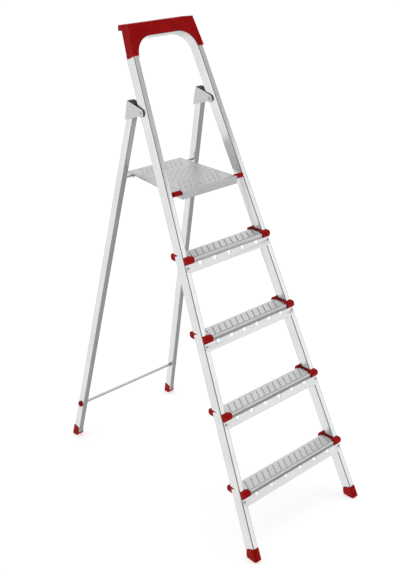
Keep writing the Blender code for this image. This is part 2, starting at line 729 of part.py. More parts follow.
def bracket_outline():
    """One cheek of the hinge bracket in the rear frame: y behind the hinge and z up."""
    web = HINGE_TO_LEG + LEG_DEPTH / 2 + GAP + BRACKET_SHEET
    lower = math.atan2(BRACKET_DEEP_END - BRACKET_NOSE, web)
    nose = arc((0, 0), BRACKET_NOSE, math.pi / 2, 3 * math.pi / 2 + lower * 0.8, 10)
    return [(web, BRACKET_TOP)] + nose + [(web, -BRACKET_DEEP_END)]


def make_bracket(label, side, parent):
    half = BRACKET_INSIDE / 2
    place = REAR_FRAME @ Matrix.Translation((side * PIVOT_HALF, 0, 0))
    outer = half + BRACKET_SHEET
    bracket = add(
        "hinge_bracket_" + label, prism(bracket_outline(), -outer, outer), "galvanised", place, parent
    )
    web_face = HINGE_TO_LEG + LEG_DEPTH / 2 + GAP
    room = box((-half, -0.05, -0.1), (half, web_face, 0.05))
    combine(bracket, [room, rod(HINGE_PIN_RADIUS + GAP, -0.03, 0.03)], "DIFFERENCE", place)
    return bracket


def make_hinge_pin(label, side):
    """Rivet through bracket, washers and stile, with a domed head outside each cheek."""
    reach = BRACKET_INSIDE / 2 + BRACKET_SHEET + GAP
    half = [
        (HINGE_PIN_RADIUS, reach),
        (HINGE_HEAD_RADIUS, reach),
        (HINGE_HEAD_RADIUS * 0.9, reach + HINGE_HEAD_HEIGHT * 0.55),
        (HINGE_HEAD_RADIUS * 0.5, reach + HINGE_HEAD_HEIGHT * 0.93),
        (0, reach + HINGE_HEAD_HEIGHT),
    ]
    profile = [(radius, -height) for radius, height in reversed(half)] + half
    mesh = turned(profile, 14, Matrix.Rotation(math.pi / 2, 4, "Y"))
    return add("hinge_pin_" + label, mesh, "rivet_steel", Matrix.Translation((side * PIVOT_HALF, *pivot_yz())))


def make_washer(label, side, inward):
    """Washer between the stile and one cheek of the bracket."""
    outer_face = BRACKET_INSIDE / 2 - GAP
    low, high = sorted((inward * outer_face, inward * (outer_face - WASHER_THICKNESS)))
    place = Matrix.Translation((side * PIVOT_HALF, *pivot_yz()))
    where = "outer" if inward == side else "inner"
    washer = add("hinge_washer_%s_%s" % (label, where), rod(WASHER_RADIUS, low, high, 16), "nylon", place)
    combine(washer, [rod(HINGE_PIN_RADIUS + GAP, low - 0.01, high + 0.01)], "DIFFERENCE", place)
    return washer


def make_cross_bar(parent):
    below = leg_height(CROSS_BAR_HEIGHT)
    half = leg_half(below) + LEG_WIDTH / 2 + 0.002
    place = REAR_FRAME @ Matrix.Translation((0, HINGE_TO_LEG, -below))
    bead = leg_half(below) - LEG_WIDTH / 2 - 0.0012
    profile = [(0, -half), (CROSS_BAR_RADIUS, -half)]
    for sign in (-1, 1):
        ends = (bead, bead - 0.004) if sign < 0 else (bead - 0.004, bead)
        for grow, at in ((0, ends[0]), (0.0022, ends[0]), (0.0022, ends[1]), (0, ends[1])):
            profile.append((CROSS_BAR_RADIUS + grow, sign * at))
    profile += [(CROSS_BAR_RADIUS, half), (0, half)]
    mesh = turned(profile, 14, Matrix.Rotation(math.pi / 2, 4, "Y"))
    return add("cross_bar", mesh, "galvanised", place, parent)


def make_plug(label, side, parent):
    """Round plug over the cross bar's end, outside the leg."""
    below = leg_height(CROSS_BAR_HEIGHT)
    face = LEG_WIDTH / 2 + PLUG_RADIUS * REAR_SLOPE + GAP
    top = face + PLUG_THICKNESS
    edge = PLUG_THICKNESS * 0.45
    profile = [
        (0, face),
        (PLUG_RADIUS, face),
        (PLUG_RADIUS, top - edge),
        (PLUG_RADIUS * 0.82, top - edge * 0.3),
        (PLUG_RADIUS * 0.5, top),
        (0, top),
    ]
    if side < 0:
        profile = [(radius, -height) for radius, height in reversed(profile)]
    place = rear_spot(side, below)
    plug = add(
        "cross_bar_plug_" + label, turned(profile, 16, Matrix.Rotation(math.pi / 2, 4, "Y")), "red_plastic", place,
        parent,
    )
    depth = sorted((0, side * (LEG_WIDTH / 2 + 0.002 + GAP)))
    combine(plug, [rod(CROSS_BAR_RADIUS + GAP, *depth)], "DIFFERENCE", place)
    return plug


def make_rest_rod(parent):
    """Rod between the rear legs that the platform's hooks lie on. Its ends stand inside the legs."""
    below = leg_height(PLATFORM_HEIGHT - REST_DROP)
    half = leg_half(below) - 0.006
    place = REAR_FRAME @ Matrix.Translation((0, HINGE_TO_LEG, -below))
    return add("platform_rest_rod", rod(REST_ROD_RADIUS, -half, half), "rivet_steel", place, parent)


# ---------------------------------------------------------------- platform

def rest_behind_axle():
    """Level distance from the platform's axle to the rest rod."""
    below = leg_height(PLATFORM_HEIGHT - REST_DROP)
    return (REAR_FRAME @ Vector((0, HINGE_TO_LEG, -below))).y - axle_yz()[0]


def platform_half():
    """Half the platform's width, which leaves room for a spacer at each stile."""
    return stile_half(along(axle_yz()[1])) - STILE_WIDTH / 2 - SPACER_LENGTH


def make_platform(parent):
    """Folded tray: flat top, skirts that taper to the rear, and a hook at each rear corner. Origin on its axle."""
    place = Matrix.Translation((0, *axle_yz()))
    half = platform_half()
    top = AXLE_DROP
    rest = rest_behind_axle()
    front, back, sheet = -PLATFORM_AHEAD, rest + PLATFORM_BEHIND_REST, PLATFORM_SHEET
    hook_end = rest + HOOK_BEHIND
    side_line = [
        (front, top - PLATFORM_SKIRT),
        (SPACER_RADIUS, top - PLATFORM_SKIRT),
        (rest - HOOK_AHEAD, top - PLATFORM_REAR_SKIRT),
        (rest - HOOK_AHEAD + 0.003, top - HOOK_BOTTOM),
        (hook_end - 0.003, top - HOOK_BOTTOM),
        (hook_end, top - HOOK_BOTTOM + 0.004),
        (back, top - PLATFORM_REAR_SKIRT),
    ]
    outline = side_line + [(back, top)] + arc((front + 0.002, top - 0.002), 0.002, math.pi / 2, math.pi, 3)
    platform = add("platform", prism(outline, -half, half), "tread_metal", place, parent)
    room = box((-half + sheet, front + sheet, -0.1), (half - sheet, back - sheet, top - sheet))
    grip = REST_ROD_RADIUS + GAP
    centre = (rest, top - REST_DROP)
    saddle = arc(centre, grip, 0, math.pi - HOOK_FLARE, 8)
    drop = 0.03
    tangent = saddle[-1]
    mouth = saddle + [
        (tangent[0] - drop * math.tan(HOOK_FLARE), tangent[1] - drop),
        (centre[0] + grip, centre[1] - drop),
    ]
    axle_hole = rod(AXLE_RADIUS + GAP, -half - 0.01, half + 0.01)
    combine(platform, [room, prism(mouth, -half - 0.01, half + 0.01), axle_hole], "DIFFERENCE", place)
    return platform


def make_axle():
    half = stile_half(along(axle_yz()[1])) - 0.0065
    return add("platform_axle", rod(AXLE_RADIUS, -half, half), "rivet_steel", Matrix.Translation((0, *axle_yz())))


def make_spacer(label, side):
    """Moulded spacer on the axle between platform and stile, an oval that reaches towards the climber."""
    lean = Vector((-math.cos(FRONT_LEAN), math.sin(FRONT_LEAN))) * SPACER_STRETCH
    across = math.atan2(lean[1], lean[0])
    quarter = math.pi / 2
    outline = arc((lean[0], lean[1]), SPACER_RADIUS, across - quarter, across + quarter, 8)
    outline += arc((0, 0), SPACER_RADIUS, across + quarter, across + 3 * quarter, 8)
    stile_face = stile_half(along(axle_yz()[1] + SPACER_RADIUS)) - STILE_WIDTH / 2 / math.cos(FRONT_SPLAY)
    ends = sorted((side * (platform_half() + GAP), side * (stile_face - GAP)))
    place = Matrix.Translation((0, *axle_yz()))
    spacer = add("platform_spacer_" + label, prism(outline, *ends), "red_plastic", place)
    combine(spacer, [rod(AXLE_RADIUS + GAP, ends[0] - 0.01, ends[1] + 0.01)], "DIFFERENCE", place)
    return spacer


# ---------------------------------------------------------------- assembly

def main():
    clear_scene()
    rear = axis_empty("rear_frame_axis", REAR_FRAME)
    tilt = axis_empty("platform_tilt_axis", Matrix.Translation((0, *axle_yz())))
    make_front_frame()
    make_rail_cap()
    make_axle()
    make_cross_bar(rear)
    make_rest_rod(rear)
    make_platform(tilt)
    stile = (STILE_WIDTH, STILE_DEPTH, STILE_CORNER)
    leg = (LEG_WIDTH, LEG_DEPTH, LEG_CORNER)
    for label, side in SIDES:
        make_foot("front_foot_" + label, stile_matrix(side), stile, FOOT_LENGTH, 0)
        make_foot("rear_foot_" + label, leg_matrix(side), leg, REAR_FOOT_LENGTH, -LEG_LENGTH, rear)
        make_rear_leg(label, side, rear)
        make_bracket(label, side, rear)
        make_hinge_pin(label, side)
        make_washer(label, side, 1)
        make_washer(label, side, -1)
        make_plug(label, side, rear)
        make_spacer(label, side)
    for index in range(TREAD_COUNT):
        make_tread(index)
        make_brace(index)
        for label, side in SIDES:
            make_tread_cap(index, label, side)
            make_tread_rivet(index, label, side)
            make_brace_rivet(index, label, side)


main()
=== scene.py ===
"""The looks of a folding step ladder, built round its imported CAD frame.

Everything is in metres in the frame's own axes: +Z up, -Y towards the climber, +X to the right. Folded
sheets, tubes and turned pieces are new surfaces worked out with numpy. Moulded pieces are welded copies of
their CAD nodes with rounded edges. Each new piece rides on the body of the node that it stands for.
"""

from __future__ import annotations

import json
import logging
import math
from collections.abc import Callable
from dataclasses import dataclass, field
from enum import Enum

import bmesh
import bpy
import numpy as np
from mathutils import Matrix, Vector

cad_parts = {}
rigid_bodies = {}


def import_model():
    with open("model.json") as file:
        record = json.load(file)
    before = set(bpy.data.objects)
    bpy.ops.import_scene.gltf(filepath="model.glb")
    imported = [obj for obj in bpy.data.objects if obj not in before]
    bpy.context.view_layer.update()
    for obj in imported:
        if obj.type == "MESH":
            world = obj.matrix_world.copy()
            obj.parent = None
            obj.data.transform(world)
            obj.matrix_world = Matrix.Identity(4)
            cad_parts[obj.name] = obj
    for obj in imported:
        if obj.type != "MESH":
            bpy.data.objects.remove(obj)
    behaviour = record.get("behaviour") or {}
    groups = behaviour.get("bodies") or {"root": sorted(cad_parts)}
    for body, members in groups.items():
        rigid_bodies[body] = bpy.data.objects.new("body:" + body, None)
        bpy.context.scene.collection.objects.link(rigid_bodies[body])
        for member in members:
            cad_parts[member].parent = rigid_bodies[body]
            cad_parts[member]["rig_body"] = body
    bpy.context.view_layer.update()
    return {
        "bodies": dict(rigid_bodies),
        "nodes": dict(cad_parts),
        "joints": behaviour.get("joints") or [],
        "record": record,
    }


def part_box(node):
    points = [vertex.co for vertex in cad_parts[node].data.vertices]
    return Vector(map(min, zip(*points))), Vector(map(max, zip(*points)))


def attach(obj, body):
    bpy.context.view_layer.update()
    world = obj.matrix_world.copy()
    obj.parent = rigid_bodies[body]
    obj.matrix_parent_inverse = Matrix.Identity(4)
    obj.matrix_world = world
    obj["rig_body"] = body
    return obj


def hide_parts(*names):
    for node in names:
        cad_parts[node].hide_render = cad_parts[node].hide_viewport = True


LOG = logging.getLogger("step_ladder")
Triple = tuple[float, float, float]
WELD = 1e-5  # points nearer than this are one
QUARTER = math.pi / 2


# ---------------------------------------------------------------- shader maths


class Shade:
    """A number in a node tree that Python's operators work on. Each operator adds one Math node."""

    def __init__(self, tree: NodeTree, socket: bpy.types.NodeSocket) -> None:
        """Wraps a socket of the tree."""
        self.tree = tree
        self.socket = socket

    def maths(self, operation: str, *values: Shade | float) -> Shade:
        """Adds a Math node.

        Args:
            operation: what the node does, in capitals.
            values: its inputs in order.

        Returns:
            The node's result.
        """
        node = self.tree.node("ShaderNodeMath", {"operation": operation}, dict(enumerate(values)))
        return Shade(self.tree, node.outputs[0])

    def __add__(self, other: Shade | float) -> Shade:
        """Sum."""
        return self.maths("ADD", self, other)

    __radd__ = __add__

    def __sub__(self, other: Shade | float) -> Shade:
        """Difference."""
        return self.maths("SUBTRACT", self, other)

    def __rsub__(self, other: float) -> Shade:
        """Difference from a number."""
        return self.maths("SUBTRACT", other, self)

    def __mul__(self, other: Shade | float) -> Shade:
        """Product."""
        return self.maths("MULTIPLY", self, other)

    __rmul__ = __mul__

    def smooth(self, low: float, high: float) -> Shade:
        """A smooth step from 0 at low to 1 at high."""
        settings = {"interpolation_type": "SMOOTHSTEP"}
        values = {"Value": self, "From Min": low, "From Max": high}
        node = self.tree.node("ShaderNodeMapRange", settings, values)
        return Shade(self.tree, node.outputs["Result"])


class NodeTree:
    """A node tree, of a material or of the surround."""

    def __init__(self, tree: bpy.types.NodeTree) -> None:
        """Takes a tree and empties it."""
        self.tree = tree
        self.tree.nodes.clear()

    def node(
        self,
        kind: str,
        settings: dict[str, object] | None = None,
        inputs: dict[str | int, object] | None = None,
    ) -> bpy.types.Node:
        """Adds a node.

        Args:
            kind: the node's type.
            settings: its own properties, set first.
            inputs: values or links for its sockets, by name or number.

        Returns:
            The node.
        """
        made = self.tree.nodes.new(kind)
        for key, value in (settings or {}).items():
            setattr(made, key, value)
        for key, value in (inputs or {}).items():
            self.feed(made.inputs[key], value)
        return made

    def feed(self, socket: bpy.types.NodeSocket, value: object) -> None:
        """Links or sets one input socket."""
        if isinstance(value, Shade):
            self.tree.links.new(value.socket, socket)
        elif isinstance(value, bpy.types.NodeSocket):
            self.tree.links.new(value, socket)
        else:
            socket.default_value = value

    def place(self, scale: Triple = (1.0, 1.0, 1.0), kind: str = "Object") -> bpy.types.NodeSocket:
        """Coordinates, stretched.

        Args:
            scale: how many times longer each axis is made.
            kind: "Object", or "UV" for the piece's own map. Its u runs round the surface and its v along it.
        """
        place = self.node("ShaderNodeTexCoord").outputs[kind]
        values = {"Vector": place, "Scale": scale}
        return self.node("ShaderNodeMapping", {"vector_type": "POINT"}, values).outputs[0]

    def noise(
        self, place: bpy.types.NodeSocket, scale: float, detail: float = 2.0, rough: float = 0.5
    ) -> Shade:
        """Fractal noise from 0 to 1 at a place."""
        values = {"Vector": place, "Scale": scale, "Detail": detail, "Roughness": rough}
        return Shade(self, self.node("ShaderNodeTexNoise", {"noise_dimensions": "3D"}, values).outputs[0])

    def blend(
        self, factor: Shade, first: tuple[float, ...], second: tuple[float, ...]
    ) -> bpy.types.NodeSocket:
        """A colour between two colours."""
        node = self.node("ShaderNodeMix", {"data_type": "RGBA"}, {"Factor": factor})
        self.feed(node.inputs[6], first)
        self.feed(node.inputs[7], second)
        return node.outputs[2]

    def bump(self, height: Shade, distance: float, strength: float = 1.0) -> bpy.types.NodeSocket:
        """A normal bent by a height."""
        values = {"Height": height, "Distance": distance, "Strength": strength}
        return self.node("ShaderNodeBump", {}, values).outputs["Normal"]


class ShaderTree(NodeTree):
    """A new material's node tree, with one Principled shader."""

    def __init__(self, name: str) -> None:
        """Starts an empty material with its shader and output."""
        self.material = bpy.data.materials.new(name)
        self.material.use_nodes = True
        super().__init__(self.material.node_tree)
        self.shader = self.node("ShaderNodeBsdfPrincipled")
        self.node("ShaderNodeOutputMaterial", {}, {"Surface": self.shader.outputs[0]})

    def set_shader(self, **values: object) -> None:
        """Feeds the shader's sockets. An underscore in a key stands for a space in the socket's name."""
        for key, value in values.items():
            self.feed(self.shader.inputs[key.replace("_", " ")], value)


def grey(value: float, tint: float = 0.0) -> tuple[float, float, float, float]:
    """A grey with a little blue in it, as an opaque colour."""
    return (value * (1 - tint), value, value * (1 + tint), 1.0)


# ---------------------------------------------------------------- finishes


@dataclass(frozen=True)
class Aluminium:
    """Bare aluminium, drawn or rolled: fine streaks along the piece, a soft cloudiness and, where lines is set,
    painted shade in its creases and holes.
    """

    name: str
    base: float
    roughness: float
    streaks: float = 0.06
    cloud: float = 0.05
    metallic: float = 0.9
    follows_surface: bool = True
    # lines: how far painted shade darkens the base colour in creases, hole walls and rib flanks; 0 paints none.
    lines: float = 0.0
    # How closely the streaks and the hairlines lie across the piece and along it, per metre.
    grain: tuple[tuple[float, float], ...] = ((900.0, 6.0), (2600.0, 40.0))

    def material(self) -> bpy.types.Material:
        """The finish as a material."""
        tree = ShaderTree(self.name)
        if self.follows_surface:
            along, fine = (tree.place((across, with_it, 1.0), "UV") for across, with_it in self.grain)
        else:
            along, fine = (tree.place((with_it, across, across)) for across, with_it in self.grain)
        even = tree.place()
        streak = tree.noise(along, 1.0, 3.0, 0.6)
        hair = tree.noise(fine, 1.0, 2.0, 0.5)
        cloud = tree.noise(even, 9.0, 3.0, 0.55)
        mottle = tree.noise(even, 60.0, 2.0, 0.5)
        tone = streak * 0.6 + cloud * 0.4
        low = grey(self.base * (1 - self.streaks), 0.004)
        high = grey(min(1.0, self.base * (1 + self.cloud)), 0.008)
        colour = tree.blend(tone.smooth(0.35, 0.65), low, high)
        # Painted shade: the base colour falls towards a near-black grey where the per-point shade attribute
        # rises to 1.
        if self.lines:
            edge = tree.node("ShaderNodeAttribute", {"attribute_name": "pressed_edge"}).outputs["Fac"]
            colour = tree.blend(Shade(tree, edge) * self.lines, colour, grey(self.base * 0.16))
        tree.set_shader(
            Base_Color=colour,
            Metallic=self.metallic,
            Roughness=self.roughness + (streak - 0.5) * 0.06 + (mottle - 0.5) * 0.05,
            Normal=tree.bump(hair + streak * 0.5, 0.00001, 0.35),
        )
        return tree.material


@dataclass(frozen=True)
class ZincSheet:
    """Zinc-plated steel: a small crystalline spangle over a grey, with rolling marks."""

    name: str
    base: float = 0.70
    roughness: float = 0.36

    def material(self) -> bpy.types.Material:
        """The finish as a material."""
        tree = ShaderTree(self.name)
        even = tree.place()
        cells = tree.node("ShaderNodeTexVoronoi", {"feature": "F1"}, {"Vector": even, "Scale": 240.0})
        spangle = Shade(tree, cells.outputs["Distance"])
        cloud = tree.noise(even, 30.0, 3.0, 0.6)
        grain = tree.noise(even, 900.0, 2.0, 0.5)
        tone = (spangle * 0.5 + cloud * 0.8).smooth(0.3, 0.9)
        tree.set_shader(
            Base_Color=tree.blend(tone, grey(self.base * 0.93, 0.006), grey(self.base * 1.06, 0.01)),
            Metallic=0.85,
            Roughness=self.roughness + (cloud - 0.5) * 0.16,
            Normal=tree.bump(grain + spangle * 0.4, 0.00005, 0.35),
        )
        return tree.material


@dataclass(frozen=True)
class MouldedPlastic:
    """Injection-moulded plastic with a fine spark grain, slight sink clouds and paler rubbed patches."""

    name: str
    colour: Triple
    roughness: float = 0.42
    grain: float = 0.00006

    def material(self) -> bpy.types.Material:
        """The finish as a material."""
        tree = ShaderTree(self.name)
        even = tree.place()
        grain = tree.noise(even, 1500.0, 3.0, 0.6)
        cloud = tree.noise(even, 28.0, 3.0, 0.55)
        rub = tree.noise(even, 95.0, 4.0, 0.65).smooth(0.52, 0.78)
        deep = (*(part * 0.86 for part in self.colour), 1.0)
        pale = (*(part * 1.12 + 0.004 for part in self.colour), 1.0)
        tree.set_shader(
            Base_Color=tree.blend(cloud.smooth(0.3, 0.7) * 0.8 + rub * 0.2, deep, pale),
            Roughness=self.roughness + rub * 0.10 + (grain - 0.5) * 0.08,
            Normal=tree.bump(grain, self.grain, 0.6),
            Specular_IOR_Level=0.07,
        )
        return tree.material


class Finish(Enum):
    """The ladder's finishes."""

    TUBE = Aluminium("drawn_tube", 0.80, 0.20, streaks=0.06, cloud=0.06)
    # lines: how dark the painted shade is in the tread's hole walls and the deck's creases.
    TREAD = Aluminium("rolled_tread", 0.68, 0.34, streaks=0.07, cloud=0.08, lines=0.9)
    DECK = Aluminium("pressed_deck", 0.60, 0.34, streaks=0.06, cloud=0.06, follows_surface=False, lines=0.85)
    BRACE = Aluminium("rolled_brace", 0.80, 0.34, follows_surface=False)
    BAR = Aluminium("drawn_bar", 0.62, 0.24)
    BRACKET = ZincSheet("zinc_bracket", 0.62)
    RIVET = ZincSheet("plated_rivet", 0.50, 0.30)
    RED = MouldedPlastic("red_plastic", (0.36, 0.0002, 0.0004), 0.5)
    WHITE = MouldedPlastic("pale_nylon", (0.62, 0.62, 0.59), 0.5)


class FinishShelf:
    """Keeps one material for each finish."""

    def __init__(self) -> None:
        """Starts with none made."""
        self.made: dict[Finish, bpy.types.Material] = {}

    def get(self, finish: Finish) -> bpy.types.Material:
        """The finish's material, made at first use."""
        if finish not in self.made:
            self.made[finish] = finish.value.material()
        return self.made[finish]


SHELF = FinishShelf()


# ---------------------------------------------------------------- surfaces


class Side(Enum):
    """A side of the ladder, and the sign of its x."""

    LEFT = -1
    RIGHT = 1

    @property
    def word(self) -> str:
        """The side's name in a node."""
        return self.name.lower()


@dataclass(frozen=True)
class Plane:
    """A leaning frame: x across, y from its front to its back and z up along it."""

    origin: Triple
    lean: float

    def place(self, points: np.ndarray) -> np.ndarray:
        """Turns points (..., 3) about x by the lean, then moves them to the origin."""
        c, s = math.cos(self.lean), math.sin(self.lean)
        x, y, z = points[..., 0], points[..., 1], points[..., 2]
        turned = np.stack([x, y * c + z * s, z * c - y * s], axis=-1)
        return turned + np.array(self.origin)


@dataclass
class Patchwork:
    """Grids of points gathered into one mesh, with a UV map in metres and a painted shade value at each point.
    """

    points: list[np.ndarray] = field(default_factory=list)
    faces: list[np.ndarray] = field(default_factory=list)
    uvs: list[np.ndarray] = field(default_factory=list)
    edges: list[np.ndarray] = field(default_factory=list)
    count: int = 0

    def add(
        self, points: np.ndarray, faces: np.ndarray, uv: np.ndarray, edge: np.ndarray | float = 0.0
    ) -> None:
        """Adds points (n, 3), quads (m, 4) that index them, and each point's UV pair and painted shade value.
        """
        self.edges.append(np.broadcast_to(edge, points.shape[:-1]).ravel())
        self.points.append(points.reshape(-1, 3))
        self.faces.append(faces.reshape(-1, 4) + self.count)
        self.uvs.append(uv.reshape(-1, 2))
        self.count += self.points[-1].shape[0]

    def grid(
        self,
        points: np.ndarray,
        uv: np.ndarray | None = None,
        skip: np.ndarray | None = None,
        edge: np.ndarray | float = 0.0,
    ) -> None:
        """Adds a sheet of quads between the points of a grid.

        Args:
            points: (rows, columns, 3).
            uv: (rows, columns, 2), or None for the grid's own running lengths.
            skip: (rows - 1, columns - 1), true where a quad is left out.
            edge: (rows, columns), painted shade from 0 to 1 where the sheet is creased or cut.
        """
        rows, columns = points.shape[:2]
        if uv is None:
            uv = np.stack([self._run(points, 1), self._run(points, 0)], axis=-1)
        index = np.arange(rows * columns).reshape(rows, columns)
        quads = np.stack([index[:-1, :-1], index[1:, :-1], index[1:, 1:], index[:-1, 1:]], axis=-1)
        self.add(points, quads if skip is None else quads[~skip], uv, edge)

    @staticmethod
    def _run(points: np.ndarray, axis: int) -> np.ndarray:
        """Length along one axis of a grid, from its first point."""
        steps = np.linalg.norm(np.diff(points, axis=axis), axis=-1)
        start = np.zeros_like(np.take(points[..., 0], [0], axis))
        return np.concatenate([start, np.cumsum(steps, axis)], axis)

    def mesh(self, name: str, place: Plane | None = None) -> bpy.types.Mesh:
        """Welds everything into one mesh with its faces outwards.

        Args:
            name: the mesh's name.
            place: a frame that the points are carried to.

        Returns:
            The mesh.
        """
        points = np.concatenate(self.points)
        if place is not None:
            points = place.place(points)
        faces, uv = np.concatenate(self.faces), np.concatenate(self.uvs)
        mesh = bpy.data.meshes.new(name)
        mesh.vertices.add(len(points))
        mesh.vertices.foreach_set("co", points.astype(np.float32).ravel())
        mesh.loops.add(faces.size)
        mesh.loops.foreach_set("vertex_index", faces.astype(np.int32).ravel())
        mesh.polygons.add(len(faces))
        mesh.polygons.foreach_set("loop_start", np.arange(0, faces.size, 4, dtype=np.int32))
        mesh.uv_layers.new(name="UVMap").data.foreach_set("uv", uv[faces.ravel()].astype(np.float32).ravel())
        # Each point's painted shade goes into a point attribute, which the aluminium finishes darken their
        # colour by.
        edge = mesh.attributes.new("pressed_edge", "FLOAT", "POINT")
        edge.data.foreach_set("value", np.concatenate(self.edges).astype(np.float32))
        mesh.update(calc_edges=True)
        weld(mesh)
        return mesh


def weld(mesh: bpy.types.Mesh, flatten: bool = False) -> None:
    """Merges doubles, drops faces of no size and turns every face outwards.

    Args:
        mesh: changed in place.
        flatten: also joins flat neighbours into one face.
    """
    work = bmesh.new()
    work.from_mesh(mesh)
    bmesh.ops.remove_doubles(work, verts=work.verts, dist=WELD)
    bmesh.ops.dissolve_degenerate(work, dist=WELD / 2, edges=work.edges)
    if flatten:
        bmesh.ops.dissolve_limit(work, angle_limit=math.radians(0.6), verts=work.verts, edges=work.edges)
    bmesh.ops.recalc_face_normals(work, faces=work.faces)
    work.to_mesh(mesh)
    work.free()


def soften(mesh: bpy.types.Mesh, angle: float = 35.0) -> None:
    """Shades a mesh smooth except across edges sharper than the angle in degrees."""
    mesh.polygons.foreach_set("use_smooth", np.ones(len(mesh.polygons), dtype=bool))
    mesh.set_sharp_from_angle(angle=math.radians(angle))


def arc(centre: tuple[float, float], radius: float, start: float, end: float, steps: int) -> np.ndarray:
    """Points (steps + 1, 2) on an arc: centre + radius (cos, sin) as the angle runs from start to end."""
    angle = np.linspace(start, end, steps + 1)
    return np.array(centre) + radius * np.stack([np.cos(angle), np.sin(angle)], axis=-1)


def round_box(width: float, depth: float, radius: float, steps: int = 6) -> np.ndarray:
    """A closed ring round a rectangle: four quarter arcs, with the first point repeated at the end."""
    x, y = width / 2 - radius, depth / 2 - radius
    corners = [((x, y), 0), ((-x, y), 1), ((-x, -y), 2), ((x, -y), 3)]
    ring = np.concatenate([arc(c, radius, k * QUARTER, (k + 1) * QUARTER, steps) for c, k in corners])
    return np.concatenate([ring, ring[:1]])


def fillet(corners: list[tuple[float, float]], radii: list[float], steps: int = 5) -> np.ndarray:
    """An open line through corners, each inner one rounded.

    The arc's centre lies on the corner's bisector, a radius away from both sides, and the arc runs between
    its two tangent points.

    Args:
        corners: the line's points, ends included.
        radii: one radius for each inner corner.
        steps: segments in each arc.

    Returns:
        The points of the line (n, 2).
    """
    spots = np.array(corners, dtype=float)
    pieces = [spots[:1]]
    for before, at, after, radius in zip(spots[:-2], spots[1:-1], spots[2:], radii):
        back = (before - at) / np.linalg.norm(before - at)
        on = (after - at) / np.linalg.norm(after - at)
        half = math.acos(float(np.clip(back @ on, -1, 1))) / 2
        centre = at + (back + on) / np.linalg.norm(back + on) * radius / math.sin(half)
        first, last = at + back * radius / math.tan(half), at + on * radius / math.tan(half)
        start = math.atan2(*(first - centre)[::-1])
        sweep = math.atan2(*(last - centre)[::-1]) - start
        sweep = (sweep + math.pi) % (2 * math.pi) - math.pi
        pieces.append(arc(tuple(centre), radius, start, start + sweep, steps))
    return np.concatenate([*pieces, spots[-1:]])


def runs(line: np.ndarray) -> np.ndarray:
    """Length along a line of points from its start."""
    return np.concatenate([[0.0], np.cumsum(np.linalg.norm(np.diff(line, axis=0), axis=-1))])


def thick_ring(line: np.ndarray, sheet: float) -> np.ndarray:
    """A closed ring round a sheet's section: the line, then the line moved a sheet to its right, backwards.

    The move is along the mean normal of the two segments at each point, stretched so that the sheet keeps its
    thickness round a corner. The first point is repeated at the end.
    """
    step = np.diff(line, axis=0)
    step /= np.linalg.norm(step, axis=1, keepdims=True)
    normal = np.stack([step[:, 1], -step[:, 0]], axis=-1)
    before, after = np.concatenate([normal[:1], normal]), np.concatenate([normal, normal[-1:]])
    mean = before + after
    mean /= np.linalg.norm(mean, axis=1, keepdims=True)
    inner = line + mean * sheet / np.sum(mean * before, axis=1, keepdims=True)
    return np.concatenate([line, inner[::-1], line[:1]])


# ---------------------------------------------------------------- pieces


def show(name: str, mesh: bpy.types.Mesh, finish: Finish, node: str) -> bpy.types.Object:
    """Puts a finished mesh in the scene in place of a CAD node.

    Args:
        name: the piece's name.
        mesh: its mesh, in place.
        finish: its finish.
        node: the CAD node whose body it rides on, and which it stands for.

    Returns:
        The piece.
    """
    soften(mesh)
    mesh.materials.clear()
    mesh.materials.append(SHELF.get(finish))
    piece = bpy.data.objects.new(name, mesh)
    bpy.context.scene.collection.objects.link(piece)
    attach(piece, bpy.data.objects[node]["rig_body"])
    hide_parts(node)
    LOG.info("%s stands for %s: %d faces", name, node, len(mesh.polygons))
    return piece


def moulded(node: str, finish: Finish, radius: float, segments: int = 3) -> bpy.types.Object:
    """A CAD node's shape with rounded edges, as a mould leaves them.

    Args:
        node: the CAD node.
        finish: its finish.
        radius: the width that each edge is rounded over.
        segments: steps across each rounded edge.

    Returns:
        The piece.
    """
    mesh = bpy.data.objects[node].data.copy()
    mesh.name = node + "_shape"
    weld(mesh, flatten=True)
    piece = show(node + "_shape", mesh, finish, node)
    bevel = piece.modifiers.new("rounding", "BEVEL")
    bevel.width = radius
    bevel.segments = segments
    bevel.limit_method = "ANGLE"
    bevel.angle_limit = math.radians(28)
    bevel.miter_outer = "MITER_ARC"
    bevel.use_clamp_overlap = True
    return piece


def middle(node: str) -> np.ndarray:
    """The centre of a CAD node's box."""
    low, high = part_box(node)
    return (np.array(low) + np.array(high)) / 2


def turned(profile: np.ndarray, centre: np.ndarray, sides: int = 40) -> Patchwork:
    """A surface of revolution about x.

    Each point of the profile is a radius and an x, and turns through (0, r cos, r sin) round the centre.

    Args:
        profile: (n, 2) radii and x positions, from the centre line back to it.
        centre: where x is counted from.
        sides: steps round.

    Returns:
        The surface.
    """
    angle = np.linspace(0, 2 * math.pi, sides + 1)[None, :]
    radius, along = profile[:, :1], profile[:, 1:]
    x = along + 0 * angle + centre[0]
    y, z = centre[1] + radius * np.cos(angle), centre[2] + radius * np.sin(angle)
    grid = np.stack([x, y, z], axis=-1)
    work = Patchwork()
    run = runs(profile)[:, None]
    work.grid(grid, np.stack([angle * profile[:, 0].max() + 0 * run, run + 0 * angle], axis=-1))
    return work


def halves(node: str) -> tuple[float, float]:
    """Half the width and half the height of a CAD node's box."""
    low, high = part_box(node)
    return (high.x - low.x) / 2, (high.z - low.z) / 2


def mirrored(end: list[tuple[float, float]]) -> np.ndarray:
    """A profile with both ends alike, from its right end's radii and x positions."""
    one = np.array(end)
    return np.concatenate([one[::-1] * np.array([1.0, -1.0]), one])


def spindle(
    name: str, node: str, profile: np.ndarray, finish: Finish, sides: int = 28
) -> bpy.types.Object:
    """A turned piece in place of a CAD node, centred on it."""
    return show(name, turned(profile, middle(node), sides).mesh(name), finish, node)


# ---------------------------------------------------------------- frames


